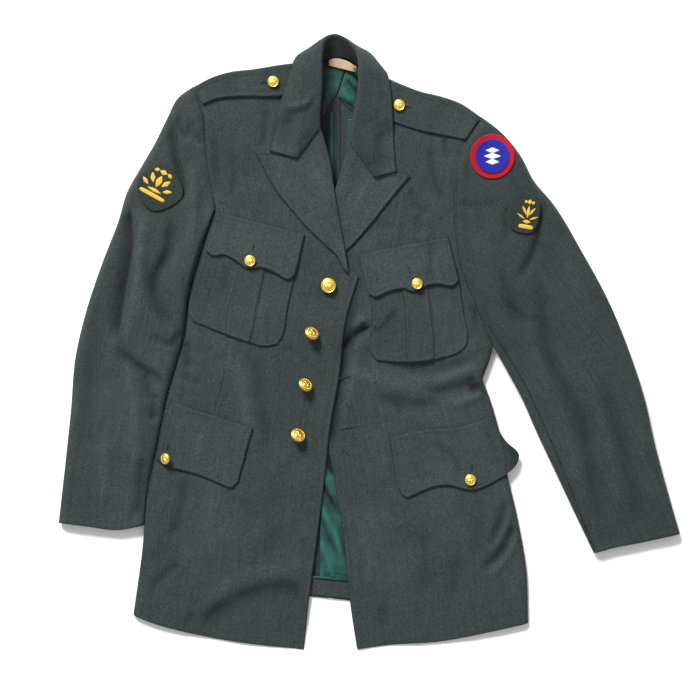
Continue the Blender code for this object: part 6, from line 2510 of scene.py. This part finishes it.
SATIN_SHADES = (
    Fold(((-53.2, -157.5), (-50.4, -175.7), (-47.6, -189.7)), -1.3, 8, 8, 0.05, 0.3),
    Fold(((-65.8, -198.1), (-53.2, -219.1), (-39.2, -242.9)), -1.2, 5, 4, 0.1, 0.1),
    Fold(((-63, -178.5), (-53.2, -186.9), (-44.8, -193.9)), 0.3, 4, 4),
    Fold(((-67.2, -242.9), (-56, -270.9), (-40.6, -304.5)), -0.5, 2, 5, 0.1, 0.3),
    Fold(((-43.4, -248.5), (-36.4, -290.5), (-30.8, -325.5)), -0.6, 4, 5, 0.2, 0.1),
    Fold(((-65.8, -325.5), (-47.6, -324.1), (-29.4, -326.9)), -0.6, 2, 2.5, 0.1, 0.1),
    Fold(((-65.8, -234.5), (-50.4, -262.5), (-37.8, -298.9)), 0.5, 3, 3),
    Fold(((-57.4, -157.5), (-49, -167.3), (-43.4, -178.5)), -0.8, 10, 10, 0.02, 0.3),
    Fold(((-63, -304.5), (-49, -307.3), (-35, -312.9)), 0.4, 5, 5),
)
HEM_SHADES = (Fold(((-88.2, -331.1), (-54.6, -332.5), (-22.4, -335.3)), -0.55, 6, 6, 0.02, 0.02),)
YOKE_RIGHT_SHADES = (
    Fold(((-70, 387.1), (-71.4, 353.5), (-71.4, 314.3)), -1.4, 7, 7, 0.05, 0.05),
    Fold(((-32.2, 381.5), (-36.4, 361.9), (-47.6, 343.7), (-61.6, 322.7)), -0.9, 3, 4, 0.1, 0.1),
    Fold(((-65.8, 387.1), (-49, 385.7), (-32.2, 381.5)), -0.7, 3, 4, 0.1, 0.1),
    Fold(((-57.4, 367.5), (-50.4, 361.9), (-43.4, 364.7)), 0.5, 4, 4),
    Fold(((-63, 345.1), (-57.4, 350.7), (-53.2, 359.1)), 0.4, 4, 4),
)
YOKE_LEFT_SHADES = (
    Fold(((-30.8, 370.3), (-23.8, 360.5), (-12.6, 349.3)), -0.8, 1.6, 2.6, 0.1, 0.1),
    Fold(((-15.4, 378.7), (-12.6, 356.3), (-14, 328.3)), -1.0, 5, 5, 0.1, 0.1),
    Fold(((-43.4, 345.1), (-32.2, 338.1), (-18.2, 325.5)), -0.9, 3, 3, 0.1, 0.1),
    Fold(((-39.2, 352.1), (-29.4, 347.9), (-19.6, 340.9)), 0.5, 3, 3),
    Fold(((-29.4, 377.3), (-22.4, 370.3), (-15.4, 361.9)), 0.3, 3, 3),
)
BUTTONHOLES = (
    ((-149.8, 361.1), (-140, 361.9)),
    ((49.7, 329), (58.1, 326.9)),
    ((-162.1, 128.7), (-161, 135.7)),
    ((56.7, 97.3), (54.6, 105)),
    ((-282, -149.1), (-280.8, -142.1)),
    ((143.5, -177.8), (143.9, -170.8)),
    ((-43.4, -51.1), (-26.6, -47.3)),
    ((-40.6, -122.1), (-19.6, -118.6)),
)


@dataclass
class Dresser:
    """Gives pieces their finishes, hangs them on the root body and hides the solids that they stand for."""

    finishes: dict[str, bpy.types.Material]

    def put(self, made: bpy.types.Object, finish: str, slot: str, *nodes: str) -> bpy.types.Object:
        """Dresses one piece.

        Args:
            made: The piece.
            finish: Its finish's name.
            slot: The record's material slot. It is not used.
            nodes: The solids that it stands for.

        Returns:
            The piece.
        """
        made.data.materials.clear()
        made.data.materials.append(self.finishes[finish])
        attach(made, "root")
        if nodes:
            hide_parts(*nodes)
        triangles = sum(len(p.vertices) - 2 for p in made.data.polygons)
        LOG.info("%s: %s, %d triangles", made.name, finish, triangles)
        return made

    def cloth(self, shell: Shell, finish: str, slot: str = "serge", *more: str) -> None:
        """Builds and dresses one sheet of cloth, which stands for the solid of its name.

        Args:
            shell: The sheet.
            finish: Its finish's name.
            slot: The record's material slot.
            more: More solids that it stands for.
        """
        made = self.put(shell.build(), finish, slot, shell.name, *more)
        made.name = shell.name + "_cloth"

    def state_cuts(self) -> None:
        """Does nothing; no cuts are stated."""


class Tunic:
    """The whole tunic, laid piece by piece."""

    def __init__(self, dresser: Dresser) -> None:
        """Starts with a bare floor."""
        self.dresser = dresser
        self.terrain = Terrain()
        self.stitches: list[np.ndarray] = []
        self.fronts: dict[Side, Front] = {}

    def sheet(self, overlay: Overlay, finish: str, slot: str = "serge") -> None:
        """Lays one overlay, dresses it and marks its stitches.

        Args:
            overlay: The sheet to lay.
            finish: Its finish's name.
            slot: The record's material slot.
        """
        shell = overlay.make(self.terrain)
        self.stitches += stitch_lines(overlay, shell)
        self.dresser.cloth(shell, finish, slot)

    def backs(self) -> None:
        """Lays the two backs."""
        for half, folds, shades in (
            (RIGHT_HALF, BACK_RIGHT_FOLDS, BACK_RIGHT_SHADES),
            (LEFT_HALF, BACK_LEFT_FOLDS, BACK_LEFT_SHADES),
        ):
            self.dresser.cloth(Back(half, folds, shades).make(self.terrain), "serge")

    def linings(self) -> None:
        """Lays what shows inside: the yokes, the skirt lining, the hem's facing and the seam bindings."""
        for name, lines, folds, shades in (
            ("lining_yoke_right", (YOKE_RIGHT_UP, YOKE_RIGHT_LOW), YOKE_RIGHT_FOLDS, YOKE_RIGHT_SHADES),
            ("lining_yoke_left", (YOKE_LEFT_UP, YOKE_LEFT_LOW), YOKE_LEFT_FOLDS, YOKE_LEFT_SHADES),
            ("lining_skirt", SKIRT_LINING, SKIRT_FOLDS, SATIN_SHADES),
        ):
            lining = sewn_down(name, between(*lines), SATIN, 1.8, folds=folds, shades=shades)
            self.sheet(lining, "satin", "satin")
        hem = np.vstack([curve(BACK_HEM_RIGHT[::-1], 7)[1:-1], curve(BACK_HEM_LEFT, 7)[:-1]])
        low, high, under, over = (hem + (0, up) for up in HEM_FACING + HEM_BINDING)
        self.sheet(sewn_down("facing_hem", between(low, high), SATIN, 3.0), "serge")
        binding = sewn_down("hem_binding", between(under, over), HEM_TAPE, 2.0, shades=HEM_SHADES)
        self.dresser.put(binding.make(self.terrain).build(), "satin", "satin")
        for side, line in (("right", BINDING_RIGHT), ("left", BINDING_LEFT)):
            edges = [np.array(line) + (d, 0) for d in (-BINDING_WIDTH / 2, BINDING_WIDTH / 2)]
            low, high, first, last = between(*edges)
            tape = sewn_down("seam_binding_" + side, (first, last, low, high), SATIN, 1.4)
            self.sheet(tape, "satin", "satin")

    def front(self, half: Half, folds: tuple[Fold, ...], lines: tuple, lapel: Lapel) -> None:
        """Lays a front and its lapel.

        Args:
            half: The side.
            folds: The front's folds.
            lines: The front's seam lines.
            lapel: Its lapel.
        """
        shades = FRONT_RIGHT_SHADES if half.side is Side.RIGHT else FRONT_LEFT_SHADES
        front = Front(half, deeper(folds, 1.35), lines, shades)
        shell = front.make(self.terrain)
        self.fronts[half.side] = front
        self.dresser.cloth(shell, "serge")
        if half.side is Side.RIGHT:
            below_roll = (half.rows - sum(front.roll_rows)) * FINER
            self.stitches.append(shell.upper[:below_roll, STITCH_LINE])
        turned_back, sewn = lapel.make(self.terrain)
        self.dresser.cloth(turned_back, "facing")
        self.stitches += sewn

    def sleeves(self) -> None:
        """Lays the two sleeves."""
        for half, depth, folds, under, lines, shades in (
            (RIGHT_HALF, 1.3, SLEEVE_RIGHT_FOLDS, UNDER_RIGHT_FOLDS, (), SLEEVE_RIGHT_SHADES),
            (LEFT_HALF, 0.85, SLEEVE_LEFT_FOLDS, UNDER_LEFT_FOLDS, SLEEVE_LEFT_LINES, SLEEVE_LEFT_SHADES),
        ):
            sleeve = Sleeve(half, deeper(folds, depth), under, lines, shades)
            for shell in sleeve.make(self.fronts[half.side], self.terrain):
                self.dresser.cloth(shell, "serge_sleeve_" + half.side.value)

    def straps_and_collar(self) -> None:
        """Lays the shoulder straps, the collar and the label."""
        free, sewn = Border.FREE, Border.SEWN
        for side, lines, ends, thick, curl in (
            ("right", (STRAP_RIGHT_TOP, STRAP_RIGHT_LOW), (sewn, free), FACED, 0.4),
            ("left", (STRAP_LEFT_TOP, STRAP_LEFT_LOW), (free, sewn), CLOTH, 0.05),
        ):
            name = "shoulder_strap_" + side
            strap = Overlay(name, *between(*lines), (*ends, free, free), thick, 2.2, curl)
            self.sheet(strap, "serge_upper")
        collar, stitches = Collar(COLLAR_FOLDS, COLLAR_SHADES).make(self.terrain)
        self.stitches += stitches
        self.dresser.cloth(collar, "serge_upper", "serge", "collar_stand")
        self.sheet(sewn_down("label", between(*LABEL), SATIN, 1.2), "label", "label")

    def pockets_and_flaps(self) -> None:
        """Lays the chest pockets with their pleats, and the four flaps."""
        hung = (Border.FREE, Border.FREE, Border.FREE, Border.SEWN)
        for side, (low, high, first, last), pleat, folds in (
            ("right", POCKET_RIGHT, PLEAT_RIGHT, POCKET_RIGHT_FOLDS),
            ("left", POCKET_LEFT, PLEAT_LEFT, POCKET_LEFT_FOLDS),
        ):
            pocket = Overlay(
                "pocket_chest_" + side, Edge.of(first), Edge.of(last), Edge.of(low), Edge.of(high), hung,
                POCKET, 2.0, 0.2, pleat.columns(), folds, shape=pleat.relief, seams=(pleat.start, pleat.stop),
            )
            self.sheet(pocket, "serge")
        for name, top, low in (
            ("chest_right", FLAP_CHEST_RIGHT_TOP, FLAP_CHEST_RIGHT_LOW),
            ("chest_left", FLAP_CHEST_LEFT_TOP, FLAP_CHEST_LEFT_LOW),
            ("hip_right", FLAP_HIP_RIGHT_TOP, FLAP_HIP_RIGHT_LOW),
            ("hip_left", FLAP_HIP_LEFT_TOP, FLAP_HIP_LEFT_LOW),
        ):
            flap = Overlay(
                "flap_" + name, *between(low, top), hung, FLAP, 1.9, 0.6,
                folds=FLAP_FOLDS[name], shape=ridged, double=True,
                lines=FLAP_LINES.get(name, ()), shades=FLAP_SHADES.get(name, ()),
            )
            if name == "hip_left":
                flap.last = Edge.of(FLAP_HIP_LEFT_END[::-1])
            self.sheet(flap, "facing")

    def buttons(self) -> None:
        """Sets the ten buttons on, with the beads on their faces."""
        rings: dict[bool, list[np.ndarray]] = {True: [], False: []}
        for row in BUTTONS:
            button = ButtonBody(*row)
            made, line = button.make(self.terrain)
            self.dresser.put(made, "brass", "brass", "button_" + button.name)
            rings[button.large].append(line)
        for name, large, size in (("beads_large", True, 1.15 * MM), ("beads_small", False, 0.9 * MM)):
            beads = Repeater(size * 1.18, size, size, 0.03, 7, 8, 6)
            made = beads.along(name, rings[large], self.dresser.finishes["brass"])
            self.dresser.put(made, "brass", "brass")

    def badges(self) -> None:
        """Sets the three badges on the sleeves."""
        for name, at, wide, tall, turn, power, finish, slot, motif in PATCHES:
            plate = sewn_down(name, rounded(at, wide, tall, turn, power), BADGE, 1.4)
            shell = plate.make(self.terrain)
            shell.line = np.min(from_sides(shell.upper), axis=0) + 0.2
            made = self.dresser.put(shell.build(), finish, slot, name)
            made.name = name + "_plate"
            if slot == "embroidery":
                ground = sewn_down("badge_field", rounded(at, *BADGE_FIELD, turn, power), 0.5, 1.4)
                self.dresser.put(ground.make(self.terrain).build(), "thread_blue", slot)
            self.dresser.put(motif.make(self.terrain), motif.finish, slot)

    def sewing(self) -> None:
        """Sews the top stitches and the buttonholes."""
        thread = self.dresser.finishes["thread_serge"]
        lines = [resampled(line, 0.18) for line in self.stitches if len(line) > 3]
        made = Repeater(0.0034, 0.0026, 0.0006, 0.12, 4).along("top_stitches", lines, thread)
        self.dresser.put(made, "thread_serge", "serge")
        welts = []
        for ends in BUTTONHOLES:
            a, b = np.array(ends)
            way = unit(b - a)
            aside = np.array([-way[1], way[0]])
            t = np.linspace(0, 2 * math.pi, 49)
            oval = (a + b) / 2 + np.outer(np.cos(t), way) * (np.linalg.norm(b - a) / 2 + 0.8)
            oval = oval + np.outer(np.sin(t), aside) * 0.7
            z = self.terrain.under(oval, 1)
            for _ in range(6):
                z = (np.roll(z, 1) + z + np.roll(z, -1)) / 3
            welts.append(np.column_stack([oval, z + 0.1]))
        made = Repeater(0.00055, 0.0006, 0.0011, 0.08, 11).along("buttonhole_welts", welts, thread)
        self.dresser.put(made, "thread_dark", "serge")

    def build(self) -> None:
        """Lays every piece, lowest first."""
        self.backs()
        self.linings()
        left = Lapel(Side.LEFT, LAPEL_LEFT, LAPEL_LEFT_FOLDS, LAPEL_LEFT_SHADES, LAPEL_LEFT_LIFTS)
        right = Lapel(Side.RIGHT, LAPEL_RIGHT, LAPEL_RIGHT_FOLDS, (), LAPEL_RIGHT_LIFTS)
        self.front(LEFT_HALF, FRONT_LEFT_FOLDS, (), left)
        self.front(RIGHT_HALF, FRONT_RIGHT_FOLDS, FRONT_RIGHT_LINES, right)
        self.sleeves()
        self.straps_and_collar()
        self.pockets_and_flaps()
        self.buttons()
        self.badges()
        self.sewing()
        self.dresser.state_cuts()


def resampled(line: np.ndarray, lift: float) -> np.ndarray:
    """A line with small corners smoothed out, raised a little."""
    line = np.array(line)
    for _ in range(2):
        line[1:-1] = (line[:-2] + 2 * line[1:-1] + line[2:]) / 4
    return line + (0, 0, lift)


@dataclass(frozen=True)
class Studio:
    """A pale floor, a soft light from beyond the collar and the camera straight above."""

    height: float = 3.0
    cloth: float = 0.009  # level of the cloth at the middle, where the seen width counts
    seen: float = 0.98
    film: float = 36.0
    middle: tuple[float, float] = (-0.02695, -0.01132)
    key_power: float = 1680.0
    fill: float = 0.60
    floor_half: float = 6.0

    def floor(self) -> None:
        """Lays the floor."""
        mesh = bpy.data.meshes.new("floor")
        s = self.floor_half
        mesh.from_pydata([(-s, -s, 0), (s, -s, 0), (s, s, 0), (-s, s, 0)], [], [(0, 1, 2, 3)])
        mesh.materials.append(Plain("floor_white", (0.92, 0.92, 0.92), 0.9, 0.0).build())
        in_scene("floor", mesh)

    def lamp(self, name: str, place: tuple, aim: tuple, size: float, power: float) -> None:
        """Hangs one square soft light.

        Args:
            name: Its name.
            place: Where it hangs, in metres.
            aim: The point it faces.
            size: Its side in metres.
            power: Its power in watts.
        """
        light = bpy.data.lights.new(name, "AREA")
        light.energy, light.size = power, size
        made = in_scene(name, light)
        made.location = place
        made.rotation_euler = (Vector(aim) - Vector(place)).to_track_quat("-Z", "Y").to_euler()

    def build(self) -> None:
        """Sets up the floor, the lights, the world and the camera."""
        self.floor()
        self.lamp("key", (-3.2, 6.9, 5.9), (0.0, 0.0, 0.0), 2.6, self.key_power)
        world = bpy.data.worlds.new("studio")
        world.use_nodes = True
        back = world.node_tree.nodes["Background"]
        back.inputs["Color"].default_value = (1.0, 1.0, 1.0, 1.0)
        back.inputs["Strength"].default_value = self.fill
        bpy.context.scene.world = world
        bpy.context.scene.view_settings.view_transform = "Standard"
        camera = bpy.data.cameras.new("camera")
        camera.lens = self.film * (self.height - self.cloth) / self.seen
        camera.clip_end = 50.0
        made = in_scene("camera", camera)
        made.location = (*self.middle, self.height)
        bpy.context.scene.camera = made


def finishes() -> dict[str, bpy.types.Material]:
    """Every finish by its name."""
    return {
        "serge": Serge().build(),
        # Copies of one serge, lighter or darker by painted light: for the lapels and flaps, the straps and
        # collar, and each sleeve.
        "facing": Serge("serge_facing", painted_light=1.10).build(),
        "serge_upper": Serge("serge_upper", painted_light=0.97).build(),
        "serge_sleeve_right": Serge("serge_sleeve_right", light=(0.0410, 0.0550, 0.0525), painted_light=0.98).build(),
        "serge_sleeve_left": Serge("serge_sleeve_left", light=(0.0410, 0.0550, 0.0512), painted_light=0.87).build(),
        "satin": Satin().build(),
        "brass": Metal().build(),
        "label": Plain("label_tape", (0.35, 0.26, 0.155), 0.8, 0.5).build(),
        "felt": Serge("badge_felt", (0.006, 0.011, 0.008), (0.027, 0.041, 0.031), grain=0.5).build(),
        "thread_red": Thread("thread_red", (0.36, 0.003, 0.010)).build(),
        "thread_blue": Thread("thread_blue", (0.010, 0.013, 0.27), turn=90).build(),
        "thread_white": Thread("thread_white", (0.75, 0.75, 0.76)).build(),
        "thread_gold": Thread("thread_gold", (0.62, 0.40, 0.055), 0.5, 30).build(),
        "thread_serge": Plain("thread_serge", (0.020, 0.028, 0.027), 0.7).build(),
        "thread_dark": Plain("thread_dark", (0.013, 0.020, 0.019), 0.7).build(),
    }


def main() -> None:
    """Builds the tunic and the studio."""
    logging.basicConfig(level=logging.INFO, format="%(name)s %(message)s")
    dresser = Dresser(finishes())
    tunic = Tunic(dresser)
    tunic.build()
    Studio().build()


if __name__ == "__main__":
    main()
